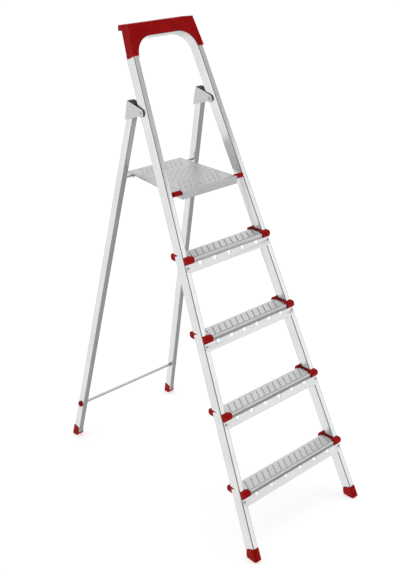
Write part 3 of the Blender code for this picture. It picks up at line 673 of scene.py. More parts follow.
@dataclass(frozen=True)
class Geometry:
    """The ladder's driving sizes, and the frames worked out from the CAD nodes."""

    front_lean: float = math.radians(24.85)
    front_splay: float = math.radians(3.8)
    rear_lean: float = math.radians(12.6)
    tread_ahead: float = 0.035
    hinge_to_leg: float = 0.0528
    stile_width: float = 0.020
    stile_depth: float = 0.040

    @property
    def front(self) -> Plane:
        """The front frame, whose origin is where its middle plane meets the floor."""
        low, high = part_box("tread_1")
        y = low.y + self.tread_ahead - high.z * math.tan(self.front_lean)
        return Plane((0.0, y, 0.0), self.front_lean)

    @property
    def rear(self) -> Plane:
        """The rear frame, whose origin is on the hinge line."""
        hinge = middle("hinge_pin_right")
        return Plane((0.0, float(hinge[1]), float(hinge[2])), -self.rear_lean)

    @property
    def half_floor(self) -> float:
        """Half the distance between the stiles' centre lines, at the floor."""
        hinge = middle("hinge_pin_right")
        height = self.height_along(float(hinge[1]), float(hinge[2]))
        return float(hinge[0]) + height * math.tan(self.front_splay)

    def height_along(self, y: float, z: float) -> float:
        """Height along the front frame of a point in the world."""
        return (y - self.front.origin[1]) * math.sin(self.front_lean) + z * math.cos(self.front_lean)

    def local_box(self, node: str) -> tuple[np.ndarray, np.ndarray]:
        """A CAD node's lowest and highest corners in the front frame's own axes."""
        mesh = bpy.data.objects[node].data
        points = np.empty(len(mesh.vertices) * 3, np.float32)
        mesh.vertices.foreach_get("co", points)
        moved = points.reshape(-1, 3).astype(float) - np.array(self.front.origin)
        c, s = math.cos(self.front_lean), math.sin(self.front_lean)
        y, z = moved[:, 1] * c - moved[:, 2] * s, moved[:, 1] * s + moved[:, 2] * c
        local = np.stack([moved[:, 0], y, z], axis=-1)
        return local.min(axis=0), local.max(axis=0)

    def stile_half(self, height: float) -> float:
        """Half the distance between the stiles' centre lines at a height along the frame."""
        return self.half_floor - height * math.tan(self.front_splay)


# ---------------------------------------------------------------- tubes


@dataclass(frozen=True)
class Tube:
    """A rectangular tube's section."""

    width: float
    depth: float
    corner: float
    wall: float = 0.0015

    def along(
        self,
        path: np.ndarray,
        way: np.ndarray,
        behind: float = 0.0,
        dents: Callable[[np.ndarray, np.ndarray], np.ndarray] | None = None,
    ) -> Patchwork:
        """Sweeps the outer and inner rings along a path and closes the cut ends.

        Args:
            path: (n, 2) points.
            way: (n, 2) unit directions.
            behind: how far the tube's middle lies behind the path's plane.
            dents: makes sweep's dent from the lengths along the path and a ring.
        """
        work, run, skins = Patchwork(), runs(path), []
        for inset in (0.0, self.wall):
            ring = round_box(self.width - 2 * inset, self.depth - 2 * inset, self.corner - inset)
            ring = ring + np.array([0.0, behind])
            skins.append(sweep(path, way, ring, dents(run, ring) if dents else 0.0))
            around = runs(ring)[None, :] + 0 * run[:, None]
            work.grid(skins[-1], np.stack([around, run[:, None] + 0 * around], axis=-1))
        for end in (0, -1):
            work.grid(np.stack([skins[0][end], skins[1][end]]))
        return work


@dataclass
class FrontFrame:
    """The tube that is both stiles and the handrail."""

    geometry: Geometry
    corner: float = 0.0032
    bend_radius: float = 0.076
    bend_steps: int = 28
    straight_steps: int = 24
    wrinkle_steps: int = 14
    wrinkle_zone: tuple[float, float] = (0.012, 0.0005)
    tube_start: float = 0.018
    wrinkle_depth: float = 0.0008
    wrinkle_width: float = 0.0016
    wrinkle_below: float = 0.0030

    @property
    def top(self) -> float:
        """Height along the frame of the bend's centre line."""
        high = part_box("front_frame")[1]
        lean = self.geometry.front_lean
        depth = self.geometry.stile_depth
        # The highest point of the tube is its front top edge.
        return (high.z - (depth / 2 - self.corner) * math.sin(lean) - self.corner) / math.cos(lean) - (
            self.geometry.stile_width / 2 - self.corner
        )

    def path(self) -> tuple[np.ndarray, np.ndarray]:
        """The U's centre line in the frame's plane.

        Up the left stile, round two arcs and down the right stile.

        Returns:
            Points (n, 2) and the unit directions at them (n, 2), as x and height.
        """
        splay, radius = self.geometry.front_splay, self.bend_radius
        height = self.top - radius
        centre = self.geometry.stile_half(height) - radius / math.cos(splay)
        foot = self.geometry.stile_half(self.tube_start)
        turn = np.linspace(math.pi - splay, QUARTER, self.bend_steps + 1)
        left = np.array([-centre, height]) + radius * np.stack([np.cos(turn), np.sin(turn)], axis=-1)
        left_way = np.stack([np.sin(turn), -np.cos(turn)], axis=-1)
        start = np.array([-foot, self.tube_start])
        near = np.linspace(*self.wrinkle_zone, self.wrinkle_steps) / float(np.linalg.norm(left[0] - start))
        even = np.linspace(0, 1 - near[0], self.straight_steps, endpoint=False)
        share = np.concatenate([even, 1 - near])[:, None]
        rise = start + share * (left[0] - start)
        rise_way = np.repeat(np.array([[math.sin(splay), math.cos(splay)]]), len(rise), axis=0)
        half, half_way = np.concatenate([rise, left]), np.concatenate([rise_way, left_way])
        other = half[::-1] * np.array([-1.0, 1.0])
        other_way = half_way[::-1] * np.array([1.0, -1.0])
        return np.concatenate([half, other]), np.concatenate([half_way, other_way])

    def wrinkles(self, run: np.ndarray, ring: np.ndarray) -> np.ndarray:
        """The dents (n, m) that the bending die leaves on the inner face, just below each bend.

        Depth times exp(-((distance below the bend - place) / width)^2), on the ring's inner flat only.

        Args:
            run: (n,) lengths along the path.
            ring: (m, 2) the ring.
        """
        bend = self.straight_steps + self.wrinkle_steps
        starts = np.array([run[bend], run[-1] - run[bend]])
        below = np.array([starts[0] - run, run - starts[1]])
        shape = np.exp(-(((below - self.wrinkle_below) / self.wrinkle_width) ** 2)).sum(axis=0)
        inner = (ring[:, 0] > ring[:, 0].max() - 1e-6) & (np.abs(ring[:, 1]) < ring[:, 1].max())
        return self.wrinkle_depth * shape[:, None] * inner[None, :]

    def build(self) -> bpy.types.Object:
        """Sweeps the tube along the path."""
        geometry = self.geometry
        tube = Tube(geometry.stile_width, geometry.stile_depth, self.corner)
        mesh = tube.along(*self.path(), dents=self.wrinkles).mesh("handrail_tube", geometry.front)
        return show("handrail_tube", mesh, Finish.TUBE, "front_frame")


def sweep(path: np.ndarray, way: np.ndarray, ring: np.ndarray, dent: np.ndarray | float = 0.0) -> np.ndarray:
    """Carries a ring along a path in the x, z plane.

    Args:
        path: (n, 2) points.
        way: (n, 2) unit directions.
        ring: (m, 2), across the tube and through it. Across is the direction turned a quarter.
        dent: (n, m), how far each point is moved back across the tube.

    Returns:
        The grid (n, m, 3).
    """
    across, through = ring[None, :, 0] - dent, ring[None, :, 1]
    x = path[:, :1] + across * way[:, 1:]
    z = path[:, 1:] - across * way[:, :1]
    return np.stack([x, through + 0 * x, z], axis=-1)


@dataclass
class RearFrame:
    """The folding rear frame: legs, hinge brackets, cross bar and rest rod."""

    geometry: Geometry
    leg_width: float = 0.020
    leg_depth: float = 0.030
    leg_corner: float = 0.0026
    leg_top: float = 0.006
    tube_start: float = 0.018
    bracket_sheet: float = 0.0018
    bracket_inside: float = 0.024
    bracket_nose: float = 0.013
    bracket_top: float = 0.013
    bracket_deep_end: float = 0.052
    bracket_bend: float = 0.0034
    gap: float = 0.0003
    dome_fall: float = 0.45
    bar_radius: float = 0.005
    bead: float = 0.0022
    bead_clear: float = 0.0032
    bead_steps: Triple = (0.006, 0.0045, 0.0005)

    def leg(self, side: Side) -> bpy.types.Object:
        """A straight tube between the centres of its two ends, which the CAD leg's box gives."""
        low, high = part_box("rear_leg_" + side.word)
        lean = self.geometry.rear_lean
        origin = np.array(self.geometry.rear.origin)
        half_top = abs(float(middle("hinge_pin_right")[0]))
        foot = np.array([float(max(abs(low.x), abs(high.x))) - self.leg_width / 2, 0.0])
        length = (origin[2] + self.geometry.hinge_to_leg * math.sin(lean)) / math.cos(lean)
        grip = (self.leg_top + self.bracket_deep_end) / 2
        slope = (foot[0] - half_top) / (length - self.tube_start - grip)
        ends = np.array([-length + self.tube_start, -self.leg_top])
        across = half_top + (-ends - grip) * slope
        share = np.linspace(0, 1, 13)[:, None]
        start, end = np.stack([across, ends], axis=-1)
        path = np.array([side.value, 1.0]) * (start + share * (end - start))
        straight = path[-1] - path[0]
        way = np.repeat((straight / np.linalg.norm(straight))[None, :], len(path), axis=0)
        tube = Tube(self.leg_width, self.leg_depth, self.leg_corner)
        work = tube.along(path, way, self.geometry.hinge_to_leg)
        name = "rear_tube_" + side.word
        mesh = work.mesh(name, self.geometry.rear)
        return show(name, mesh, Finish.TUBE, "rear_leg_" + side.word)

    def bracket_section(self) -> np.ndarray:
        """The channel's outer line (x, y) seen along the leg: nose, cheek, bend, web, bend, cheek, nose."""
        half = self.bracket_inside / 2 + self.bracket_sheet
        web = self.geometry.hinge_to_leg + self.leg_depth / 2 + self.gap + self.bracket_sheet
        nose = -self.bracket_nose
        line = fillet([(-half, nose), (-half, web), (half, web), (half, nose)], [self.bracket_bend] * 2, 6)
        # Extra points crowd towards the nose, where the outline turns fastest.
        turn = self.bracket_nose * np.cos(np.linspace(math.pi, QUARTER * 0.6, 22))[:, None]
        left = np.concatenate([0 * turn - half, turn], axis=1)
        body = np.linspace(left[-1, 1], line[1, 1], 10)[1:-1, None]
        flank = np.concatenate([0 * body - half, body], axis=1)
        start = np.concatenate([left, flank])
        return np.concatenate([start, line[1:-1], start[::-1] * np.array([-1.0, 1.0])])

    def bracket(self, side: Side) -> bpy.types.Object:
        """The channel cut to its outline: each point of its section runs from a bottom line to a top line.

        Round the nose both lines are the circle, height = +-sqrt(r^2 - y^2). Behind it the top is level and
        the bottom falls in a straight line to its deep end.
        """
        section = thick_ring(self.bracket_section()[::-1], self.bracket_sheet)
        y = np.clip(section[:, 1], -self.bracket_nose, None)
        web = y.max()
        circle = np.sqrt(np.clip(self.bracket_nose**2 - y**2, 0, None))
        top = np.where(y < 0, circle, self.bracket_top)
        touch = math.atan2(self.bracket_deep_end - self.bracket_nose, web) * 0.8
        touch_y, touch_z = self.bracket_nose * math.sin(touch), -self.bracket_nose * math.cos(touch)
        slope = (-self.bracket_deep_end - touch_z) / (web - touch_y)
        bottom = np.where(y < touch_y, -circle, touch_z + (y - touch_y) * slope)
        share = np.linspace(0, 1, 9)[:, None]
        height = bottom[None, :] + share * (top - bottom)[None, :]
        centre = middle("hinge_pin_" + side.word)[0]
        x, y = section[None, :, 0] + centre + 0 * height, section[None, :, 1] + 0 * height
        grid = np.stack([x, y, height], axis=-1)
        around = runs(section)[None, :] + 0 * height
        work = Patchwork()
        work.grid(grid, np.stack([around, height], axis=-1))
        half = len(section) // 2
        for level in (0, -1):
            rim = grid[level]
            work.grid(np.stack([rim[:half], rim[half : 2 * half][::-1]]))
        for edge in (0, half - 1):
            work.grid(np.stack([grid[:, edge], grid[:, 2 * half - 1 - edge]]))
        name = "hinge_channel_" + side.word
        mesh = work.mesh(name, self.geometry.rear)
        return show(name, mesh, Finish.BRACKET, "hinge_bracket_" + side.word)

    def bar(self) -> bpy.types.Object:
        """The cross bar, with a raised bead inside each leg."""
        half = halves("cross_bar")[0]
        inner = half - self.leg_width - self.bead_clear
        r, b = self.bar_radius, self.bar_radius + self.bead
        start, rise, fall = (inner - back for back in self.bead_steps)
        end = [(r, start), (b, rise), (b, fall), (r, inner), (r, half), (0, half)]
        return spindle("cross_tube", "cross_bar", mirrored(end), Finish.BAR, 32)

    def plug(self, side: Side) -> bpy.types.Object:
        """A round plug with a domed face: thickness (1 - fall share^4), share being radius over full radius."""
        node = "cross_bar_plug_" + side.word
        half, radius = halves(node)
        share = np.linspace(0, 1, 12)
        dome = np.stack([radius * share, 2 * half * (1 - self.dome_fall * share**4)], axis=-1)
        profile = np.concatenate([dome, [(radius, 0.0), (0.0, 0.0)]])
        profile[:, 1] = (profile[:, 1] - half) * side.value
        return spindle("round_plug_" + side.word, node, profile, Finish.RED, 36)

    def rod(self) -> bpy.types.Object:
        """The rod that the platform rests on."""
        half, radius = halves("platform_rest_rod")
        return spindle("rest_rod", "platform_rest_rod", mirrored([(radius, half), (0, half)]), Finish.BAR)

    def build(self) -> None:
        """Makes every piece of the rear frame."""
        for side in Side:
            self.leg(side)
            self.bracket(side)
            self.plug(side)
            moulded("rear_foot_" + side.word, Finish.RED, 0.0012)
        self.bar()
        self.rod()


# ---------------------------------------------------------------- punched sheet


@dataclass(frozen=True)
class Hole:
    """A hole's rings from the sheet to its edge: radii with heights."""

    rings: tuple[tuple[float, float], ...]


@dataclass
class PunchedSheet:
    """A flat pattern of lines with holes, later bent to a section.

    The pattern's points are (x, s, h): across the piece, along the bent section, and the height of any
    embossing out of the sheet. A hole takes a block of cells. Its rings join the block's outline to a circle.
    """

    across: np.ndarray
    along: np.ndarray
    slant: float = 0.0
    still: tuple[float, float] = (0.0, 1.0)
    block: int = 4
    # The power by which painted shade inside a hole rises from its block's outline to its innermost ring.
    edge_fall: float = 1.6
    holes: list[tuple[np.ndarray, np.ndarray, Hole]] = field(default_factory=list)

    def punch(self, columns: np.ndarray, rows: np.ndarray, hole: Hole) -> None:
        """Adds holes whose blocks start at these pairs of line numbers."""
        self.holes.append((columns.ravel(), rows.ravel(), hole))

    def moved(self, x: np.ndarray, s: np.ndarray) -> np.ndarray:
        """x after the pattern's rows are slanted.

        x + slant (s - middle) between the two lengths in still, and held outside them. The move fades to
        nothing over the last 30 mm at both ends of the piece, as a smooth step.
        """
        low, high = self.still
        end = float(np.abs(self.across).max())
        fade = np.clip((end - np.abs(x)) / 0.030, 0, 1)
        return x + self.slant * (np.clip(s, low, high) - (low + high) / 2) * fade * fade * (3 - 2 * fade)

    def _outline(self) -> np.ndarray:
        """Line offsets (4 block + 1, 2) round a block, the first repeated at the end."""
        n = self.block
        step = np.arange(n)
        zero, full = np.zeros(n, int), np.full(n, n)
        ring = np.concatenate(
            [
                np.stack([step, zero], -1),
                np.stack([full, step], -1),
                np.stack([n - step, full], -1),
                np.stack([zero, n - step], -1),
            ]
        )
        return np.concatenate([ring, ring[:1]])

    def pattern(self) -> Patchwork:
        """The pattern as a patchwork whose points are (x, s, h)."""
        work = Patchwork()
        x, s = np.meshgrid(self.across, self.along, indexing="ij")
        skip = np.zeros((len(self.across) - 1, len(self.along) - 1), bool)
        outline = self._outline()
        for columns, rows, hole in self.holes:
            reach = np.arange(self.block)
            skip[(columns[:, None, None] + reach[:, None]), (rows[:, None, None] + reach)] = True
            edge_x = self.across[columns[:, None] + outline[:, 0]]
            edge_s = self.along[rows[:, None] + outline[:, 1]]
            centre_x = (self.across[columns] + self.across[columns + self.block])[:, None] / 2
            centre_s = (self.along[rows] + self.along[rows + self.block])[:, None] / 2
            angle = np.arctan2(edge_s - centre_s, edge_x - centre_x)
            rings = [np.stack([self.moved(edge_x, edge_s), edge_s, 0 * edge_x], axis=-1)]
            seat_x = self.moved(centre_x, centre_s)
            for radius, height in hole.rings:
                ring_x = seat_x + radius * np.cos(angle)
                ring_s = centre_s + radius * np.sin(angle)
                rings.append(np.stack([ring_x, ring_s, height + 0 * ring_x], axis=-1))
            block = np.stack(rings, axis=1)
            count, levels, around = block.shape[:3]
            index = np.arange(count * levels * around).reshape(count, levels, around)
            quads = np.stack(
                [index[:, :-1, :-1], index[:, :-1, 1:], index[:, 1:, 1:], index[:, 1:, :-1]], axis=-1
            )
            # Painted shade down each hole: 0 at the block's outline, 1 at the innermost ring.
            depth = np.linspace(0, 1, levels)[None, :, None] + 0 * block[..., 0]
            work.add(block, quads, block[..., :2], depth**self.edge_fall)
        work.grid(np.stack([self.moved(x, s), s, 0 * x], axis=-1), np.stack([x, s], axis=-1), skip)
        return work


def bend(work: Patchwork, section: np.ndarray) -> None:
    """Bends a flat pattern to a section.

    A point (x, s, h) goes to the section's point at length s, moved h along the section's left normal.

    Args:
        work: changed in place.
        section: (n, 2) y and z of the outer skin, in order.
    """
    run = runs(section)
    way = np.gradient(section, run, axis=0)
    way /= np.linalg.norm(way, axis=1, keepdims=True)
    for index, points in enumerate(work.points):
        s, h = points[:, 1], points[:, 2]
        y, z = (np.interp(s, run, section[:, k]) for k in (0, 1))
        wy, wz = (np.interp(s, run, way[:, k]) for k in (0, 1))
        work.points[index] = np.stack([points[:, 0], y + wz * h, z - wy * h], axis=-1)


def spread(start: float, end: float, largest: float) -> np.ndarray:
    """Even positions from start to end, no further apart than the largest step."""
    return np.linspace(start, end, max(1, math.ceil((end - start) / largest)) + 1)


# ---------------------------------------------------------------- treads


@dataclass
class Tread:
    """One tread with its end caps, brace and rivets."""

    geometry: Geometry
    number: int
    sheet: float = 0.0013
    nose_radius: float = 0.0036
    heel_radius: float = 0.0026
    lip: float = 0.008
    lip_radius: float = 0.002
    cell: float = 0.0063
    row_pitch: int = 4
    slant: float = 0.6
    front_clear: float = 0.0105
    back_clear: float = 0.0070
    front_stretch: float = 0.004
    dimple_row: float = 0.0062
    least_step: float = 0.0003
    hole: Hole = Hole(((0.0027, 0.0), (0.0022, 0.0006), (0.0017, 0.0008)))
    dimple: Hole = Hole(((0.0026, 0.0), (0.0020, 0.00035), (0.0014, 0.0004)))

    @property
    def node(self) -> str:
        """The tread's CAD node."""
        return f"tread_{self.number}"

    def panel(self) -> bpy.types.Object:
        """The folded sheet, with rows of holes from back to front and one row of dimples along the nose."""
        low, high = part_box(self.node)
        half = (high.x - low.x) / 2
        front, back, top, deep = low.y, high.y, high.z, low.z
        rear, fore = [(back - self.lip, deep), (back, deep), (back, top)], [(front, top), (front, deep)]
        section = fillet(
            [*rear, *fore, (front + self.lip, deep)],
            [self.lip_radius, self.heel_radius, self.nose_radius, self.lip_radius],
            6,
        )
        run = runs(section)
        flat = np.flatnonzero(np.isclose(section[:, 1], top, atol=1e-7))
        flat_start, flat_end = run[flat[0]], run[flat[-1]]
        punched = flat_end - self.front_clear - flat_start - self.back_clear
        count = max(1, round(punched / self.cell))
        last = flat_end - self.front_clear + self.front_stretch
        cells = np.linspace(flat_start + self.back_clear, last, count * 4 + 1)
        rest = flat_end - cells[-1]
        nose = np.linspace(cells[-1], cells[-1] + min(rest, self.dimple_row), 5)
        fixed = np.unique(np.round(np.concatenate([cells, nose]), 7))
        free = run[np.abs(run[:, None] - fixed[None, :]).min(axis=1) > self.least_step]
        along = np.sort(np.concatenate([np.round(free, 7), fixed]))
        columns = round(2 * half / self.cell)
        across = np.linspace(-half, half, columns * 4 + 1)
        sheet = PunchedSheet(across, along, -self.slant, (flat_start, flat_end))
        line = np.searchsorted(along, np.round(cells[::4][:-1], 7))
        rows_at = np.arange(columns)[(np.arange(columns) - columns // 2 + 2) % self.row_pitch == 0]
        rows_at = rows_at[(rows_at > 0) & (rows_at < columns - 1)] * 4
        sheet.punch(*np.meshgrid(rows_at, line, indexing="ij"), self.hole)
        every = np.arange(1, columns - 1) * 4
        nose_line = np.searchsorted(along, np.round(nose[:1], 7))
        sheet.punch(*np.meshgrid(every, nose_line, indexing="ij"), self.dimple)
        work = sheet.pattern()
        bend(work, section)
        for end in (-half, half):
            work.grid(self._flange(end, section))
        name = f"tread_panel_{self.number}"
        piece = show(name, work.mesh(name), Finish.TREAD, self.node)
        thicken(piece, self.sheet)
        return piece

    @staticmethod
    def _flange(end: float, section: np.ndarray) -> np.ndarray:
        """The tread's closed end: straight lines from the section's rear half to its front half."""
        half = len(section) // 2
        rear, front = section[:half], section[::-1][:half]
        share = np.linspace(0, 1, 9)[:, None, None]
        flat = rear[None] + share * (front - rear)[None]
        return np.concatenate([0 * flat[..., :1] + end, flat], axis=-1)

    def brace(self) -> bpy.types.Object:
        """The brace bar with softened edges."""
        return moulded(f"tread_brace_{self.number}", Finish.BRACE, 0.0004, 2)

    def build(self) -> None:
        """Makes the tread and what holds it."""
        self.panel()
        self.brace()
        for side in Side:
            moulded(f"tread_cap_{self.number}_{side.word}", Finish.RED, 0.0011)
            self.rivet(f"brace_rivet_{self.number}_{side.word}")
            dress(f"tread_rivet_{self.number}_{side.word}", Finish.RIVET)

    def rivet(self, node: str) -> bpy.types.Object:
        """A pull-through rivet: a low dome round a shallow hole, in the front frame's plane."""
        radius = halves(node)[0]
        shank = [(0.0, -0.0030), (0.0022, -0.0030), (0.0022, 0.0)]
        head = [(1.0, 0.0), (0.98, 0.0006), (0.80, 0.0012), (0.52, 0.0014), (0.36, 0.0012), (0.30, 0.0004)]
        profile = np.array([*shank, *((share * radius, out) for share, out in head), (0.0, 0.0002)])
        turn = np.linspace(0, 2 * math.pi, 25)[None, :]
        r, out = profile[:, :1], profile[:, 1:]
        grid = np.stack([r * np.cos(turn), -out + 0 * turn, r * np.sin(turn)], axis=-1)
        work = Patchwork()
        work.grid(grid)
        mesh = work.mesh("hollow_" + node, Plane(tuple(self._seat(node)), self.geometry.front_lean))
        return show("hollow_" + node, mesh, Finish.RIVET, node)

    def _seat(self, node: str) -> np.ndarray:
        """Where the rivet's axis meets the brace's front face."""
        low, high = self.geometry.local_box(node)
        front = self.geometry.local_box(f"tread_brace_{self.number}")[0][1]
        return self.geometry.front.place(np.array([(low[0] + high[0]) / 2, front, (low[2] + high[2]) / 2]))


def thicken(piece: bpy.types.Object, sheet: float) -> None:
    """Gives a sheet its thickness, inwards from the skin that was drawn."""
    solid = piece.modifiers.new("thickness", "SOLIDIFY")
    solid.thickness = sheet
    solid.offset = -1.0
    solid.use_quality_normals = True


def dress(node: str, finish: Finish) -> None:
    """Gives a CAD node that stays in view its finish."""
    piece = bpy.data.objects[node]
    piece.data.materials.clear()
    piece.data.materials.append(SHELF.get(finish))
    LOG.info("%s dressed", node)


# ---------------------------------------------------------------- platform


@dataclass
class Platform:
    """The folded tray, its pressed top, the axle and the spacers."""

    rim: float = 0.0052
    step: float = 0.00125
    raised: float = 0.0005
    rib_height: float = 0.0012
    rib_half: float = 0.0046
    rib_edge: float = 0.0024
    rib_pitch: float = 0.0205
    rib_slant: float = 0.7
    front_band: tuple[float, float] = (0.010, 0.076)
    rear_band: tuple[float, float] = (0.196, 0.256)
    middle_band: tuple[float, float] = (0.102, 0.164)
    seams: tuple[float, float] = (0.086, 0.180)
    zigzag_rows: int = 4
    zigzag_period: float = 0.026
    zigzag_reach: float = 0.0052
    chamfer: float = 0.0008
    # The distances over which each smooth step falls.
    rim_fall: tuple[float, float] = (0.0, 0.0016)
    # The width of the band of painted shade along the panel's rim.
    rim_line: tuple[float, float] = (0.0006, 0.0022)
    seam_edge: tuple[float, float] = (0.0004, 0.0020)
    zigzag_edge: tuple[float, float] = (0.0008, 0.0024)
    sink: float = 0.00015

    def panel(self) -> bpy.types.Object:
        """The pressed top as a height over a grid, with painted shade at its rim, rib flanks and seams.

        The height is the panel's own raise, falling away at its rim, plus the ribs, less the two seams:
        each is a smooth step of the distance to its line.
        """
        low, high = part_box("platform")
        x = spread(low.x + self.rim, high.x - self.rim, self.step)
        y = spread(low.y + self.rim, high.y - self.rim * 0.6, self.step)
        x, y = np.meshgrid(x, y, indexing="ij")
        inside = np.minimum.reduce([x - x.min(), x.max() - x, y - y.min(), y.max() - y])
        height = self.raised * self._step(inside, *self.rim_fall) - self.sink
        # edge is painted shade: a band along the rim, the flanks of the ribs and ridges, a line near each side
        # and the seams.
        edge = 1 - self._step(inside, *self.rim_line)
        for band, shift in ((self.front_band, 0.0), (self.rear_band, 0.5)):
            rib = self._ribs(x, y, band, shift)
            height += self.rib_height * rib
            edge = np.maximum(edge, 4 * rib * (1 - rib))
        ridge = self._zigzags(x, y)
        height += self.rib_height * 0.7 * ridge
        edge = np.maximum(edge, 3 * ridge * (1 - ridge))
        # A thin line of painted shade near each side edge; it changes no height.
        frame = np.maximum(np.abs(x) - float(x.max()) + 0.0045, 0)
        edge = np.maximum(edge, 0.6 * (1 - self._step(np.abs(frame - 0.0008), 0.0, 0.0009)))
        for seam in self.seams:
            groove = 1 - self._step(np.abs(y - seam), *self.seam_edge)
            height -= self.raised * 1.1 * groove
            edge = np.maximum(edge, groove)
        work = Patchwork()
        work.grid(np.stack([x, y, high.z + height], axis=-1), edge=np.clip(edge, 0, 1))
        mesh = work.mesh("platform_panel")
        return show("platform_panel", mesh, Finish.DECK, "platform")

    @staticmethod
    def _step(value: np.ndarray, low: float, high: float) -> np.ndarray:
        """A smooth step from 0 at low to 1 at high."""
        share = np.clip((value - low) / (high - low), 0, 1)
        return share * share * (3 - 2 * share)

    def _ribs(self, x: np.ndarray, y: np.ndarray, band: tuple[float, float], shift: float) -> np.ndarray:
        """Slanted round-ended ribs across a band: 1 on a rib and 0 off it.

        A rib's middle line leans by the slant. The distance to it is to the nearest point of its length.
        """
        middle_y, half = (band[0] + band[1]) / 2, (band[1] - band[0]) / 2 - self.rib_half
        reach = float(x.max()) - half * self.rib_slant * 0.55 - self.rib_half - 0.003
        count = int((2 * reach) / self.rib_pitch + shift)
        centres = (np.arange(count) - (count - 1) / 2) * self.rib_pitch
        way = np.array([self.rib_slant, 1.0]) / math.hypot(self.rib_slant, 1.0)
        length = half * math.hypot(self.rib_slant, 1.0)
        px, py = x[..., None] - centres, (y - middle_y)[..., None]
        along = np.clip(px * way[0] + py * way[1], -length, length)
        distance = np.hypot(px - along * way[0], py - along * way[1]).min(axis=-1)
        side = self._step(float(x.max()) - np.abs(x), 0.0050, 0.0075)
        return (1 - self._step(distance, self.rib_half - self.rib_edge, self.rib_half)) * side

    def _zigzags(self, x: np.ndarray, y: np.ndarray) -> np.ndarray:
        """Rows of a zigzag ridge, 1 on it and 0 off it: its line is y = row + reach times a triangle wave."""
        wave = np.abs(np.mod(x / self.zigzag_period, 1.0) * 2 - 1) * 2 - 1
        rows = np.linspace(self.middle_band[0], self.middle_band[1], self.zigzag_rows)
        distance = np.abs(y[..., None] - rows - (self.zigzag_reach * wave)[..., None]).min(axis=-1) * 0.78
        side = 1 - self._step(np.abs(x), float(x.max()) - 0.012, float(x.max()) - 0.009)
        return (1 - self._step(distance, *self.zigzag_edge)) * side

    def build(self) -> None:
        """Makes the tray, its top and what it turns on."""
        moulded("platform", Finish.DECK, 0.0009, 3)
        self.panel()
        self.axle()
        for side in Side:
            moulded("platform_spacer_" + side.word, Finish.RED, 0.0012)

    def axle(self) -> bpy.types.Object:
        """The axle with chamfered ends."""
        half, radius = halves("platform_axle")
        end = [(radius, half - self.chamfer), (radius - self.chamfer, half), (0, half)]
        return spindle("round_axle", "platform_axle", mirrored(end), Finish.BAR)


# ---------------------------------------------------------------- studio


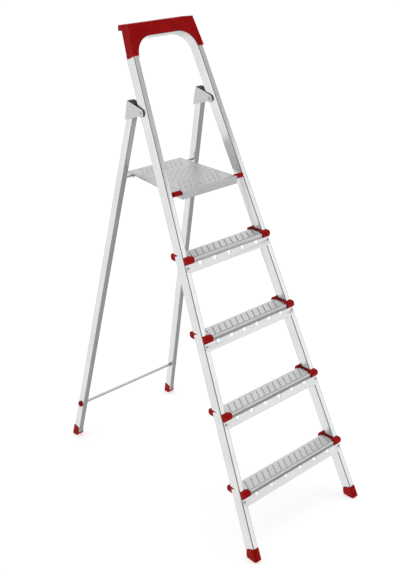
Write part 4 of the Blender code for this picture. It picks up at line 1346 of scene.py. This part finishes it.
@dataclass(frozen=True)
class Studio:
    """A pale floor, a soft surround, three large lights and the camera."""

    azimuth: float = math.radians(-42.621)
    elevation: float = math.radians(24.677)
    lens: float = 58.957
    place: Triple = (-1.9176, -2.0447, 1.9981)
    floor_tone: float = 0.60
    floor_glow: float = 0.58
    floor_drop: float = 0.0002
    bright: float = 0.98
    dim: float = 0.30
    room_dark: float = 0.80

    def build(self) -> None:
        """Makes the floor, the surround, the lights and the camera."""
        scene = bpy.context.scene
        scene.view_settings.view_transform = "Standard"
        scene.view_settings.look = "None"
        self._floor()
        self._surround(scene)
        self._light("front", (2.0, -3.0, 0.95), 3.0, 20.0)
        self._light("side", (-3.4, 1.6, 1.2), 2.0, 6.0)
        self._light("top", (0.2, 0.4, 4.6), 2.6, 14.0)
        self._camera(scene)

    def _floor(self) -> None:
        """A very large disc round the origin. Gloss on the metal sees the surround instead."""
        angle = np.linspace(0, 2 * math.pi, 97)[None, :]
        radius = np.array([0.0, 1.0, 4.0, 60.0])[:, None]
        work = Patchwork()
        x, y, z = radius * np.cos(angle), radius * np.sin(angle), 0 * radius * angle - self.floor_drop
        work.grid(np.stack([x, y, z], axis=-1))
        mesh = work.mesh("floor")
        tree = ShaderTree("pale_floor")
        tone = tree.noise(tree.place(), 1.5, 2.0, 0.5)
        colour = tree.blend(tone, grey(self.floor_tone * 0.99), grey(self.floor_tone))
        tree.set_shader(Base_Color=colour, Roughness=0.8, Specular_IOR_Level=0.1)
        tree.set_shader(Emission_Color=grey(1.0), Emission_Strength=self.floor_glow)
        mesh.materials.append(tree.material)
        floor = bpy.data.objects.new("floor", mesh)
        floor.visible_glossy = False
        bpy.context.scene.collection.objects.link(floor)

    def _surround(self, scene: bpy.types.Scene) -> None:
        """A white surround, dimmer to the front right and below, with a darker patch behind the camera."""
        world = bpy.data.worlds.new("studio")
        world.use_nodes = True
        scene.world = world
        tree = NodeTree(world.node_tree)
        towards = tree.node("ShaderNodeTexCoord").outputs["Generated"]

        def facing(way: Triple) -> Shade:
            """Cosine of the angle between the ray and a direction."""
            values = {0: towards, 1: tuple(Vector(way).normalized())}
            node = tree.node("ShaderNodeVectorMath", {"operation": "DOT_PRODUCT"}, values)
            return Shade(tree, node.outputs["Value"])

        lit = self.dim + (self.bright - self.dim) * facing((-0.62, 0.62, 0.48)).smooth(-1.05, 0.15)
        dark = self.room_dark * facing((-0.78, -0.60, 0.16)).smooth(0.25, 0.75)
        strength = lit * (1 - dark)
        shader = tree.node("ShaderNodeBackground", {}, {"Color": grey(1.0), "Strength": strength})
        tree.node("ShaderNodeOutputWorld", {}, {"Surface": shader.outputs[0]})

    @staticmethod
    def _light(name: str, place: Triple, size: float, power: float) -> None:
        """A square area light aimed at the middle of the ladder."""
        data = bpy.data.lights.new(name, "AREA")
        data.shape = "SQUARE"
        data.size = size
        data.energy = power
        lamp = bpy.data.objects.new(name, data)
        lamp.location = place
        lamp.rotation_euler = (Vector((0, 0, 0.8)) - Vector(place)).to_track_quat("-Z", "Y").to_euler()
        bpy.context.scene.collection.objects.link(lamp)

    def _camera(self, scene: bpy.types.Scene) -> None:
        """The camera, looking back along its own azimuth and elevation."""
        data = bpy.data.cameras.new("camera")
        data.lens = self.lens
        data.clip_end = 100.0
        camera = bpy.data.objects.new("camera", data)
        camera.location = self.place
        back = Vector(
            (
                math.sin(self.azimuth) * math.cos(self.elevation),
                -math.cos(self.azimuth) * math.cos(self.elevation),
                math.sin(self.elevation),
            )
        )
        camera.rotation_euler = (-back).to_track_quat("-Z", "Y").to_euler()
        scene.collection.objects.link(camera)
        scene.camera = camera


def main() -> None:
    """Builds the ladder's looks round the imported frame."""
    logging.basicConfig(level=logging.INFO, format="%(name)s: %(message)s")
    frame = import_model()
    geometry = Geometry()
    Studio().build()
    FrontFrame(geometry).build()
    RearFrame(geometry).build()
    for number in range(1, 5):
        Tread(geometry, number).build()
    for side in Side:
        moulded("front_foot_" + side.word, Finish.RED, 0.0012)
        dress("hinge_pin_" + side.word, Finish.RIVET)
        for where in ("inner", "outer"):
            dress(f"hinge_washer_{side.word}_{where}", Finish.WHITE)
    moulded("handrail_cap", Finish.RED, 0.0010)
    Platform().build()
    LOG.info("%d CAD nodes in the frame", len(frame["nodes"]))


if __name__ == "__main__":
    main()
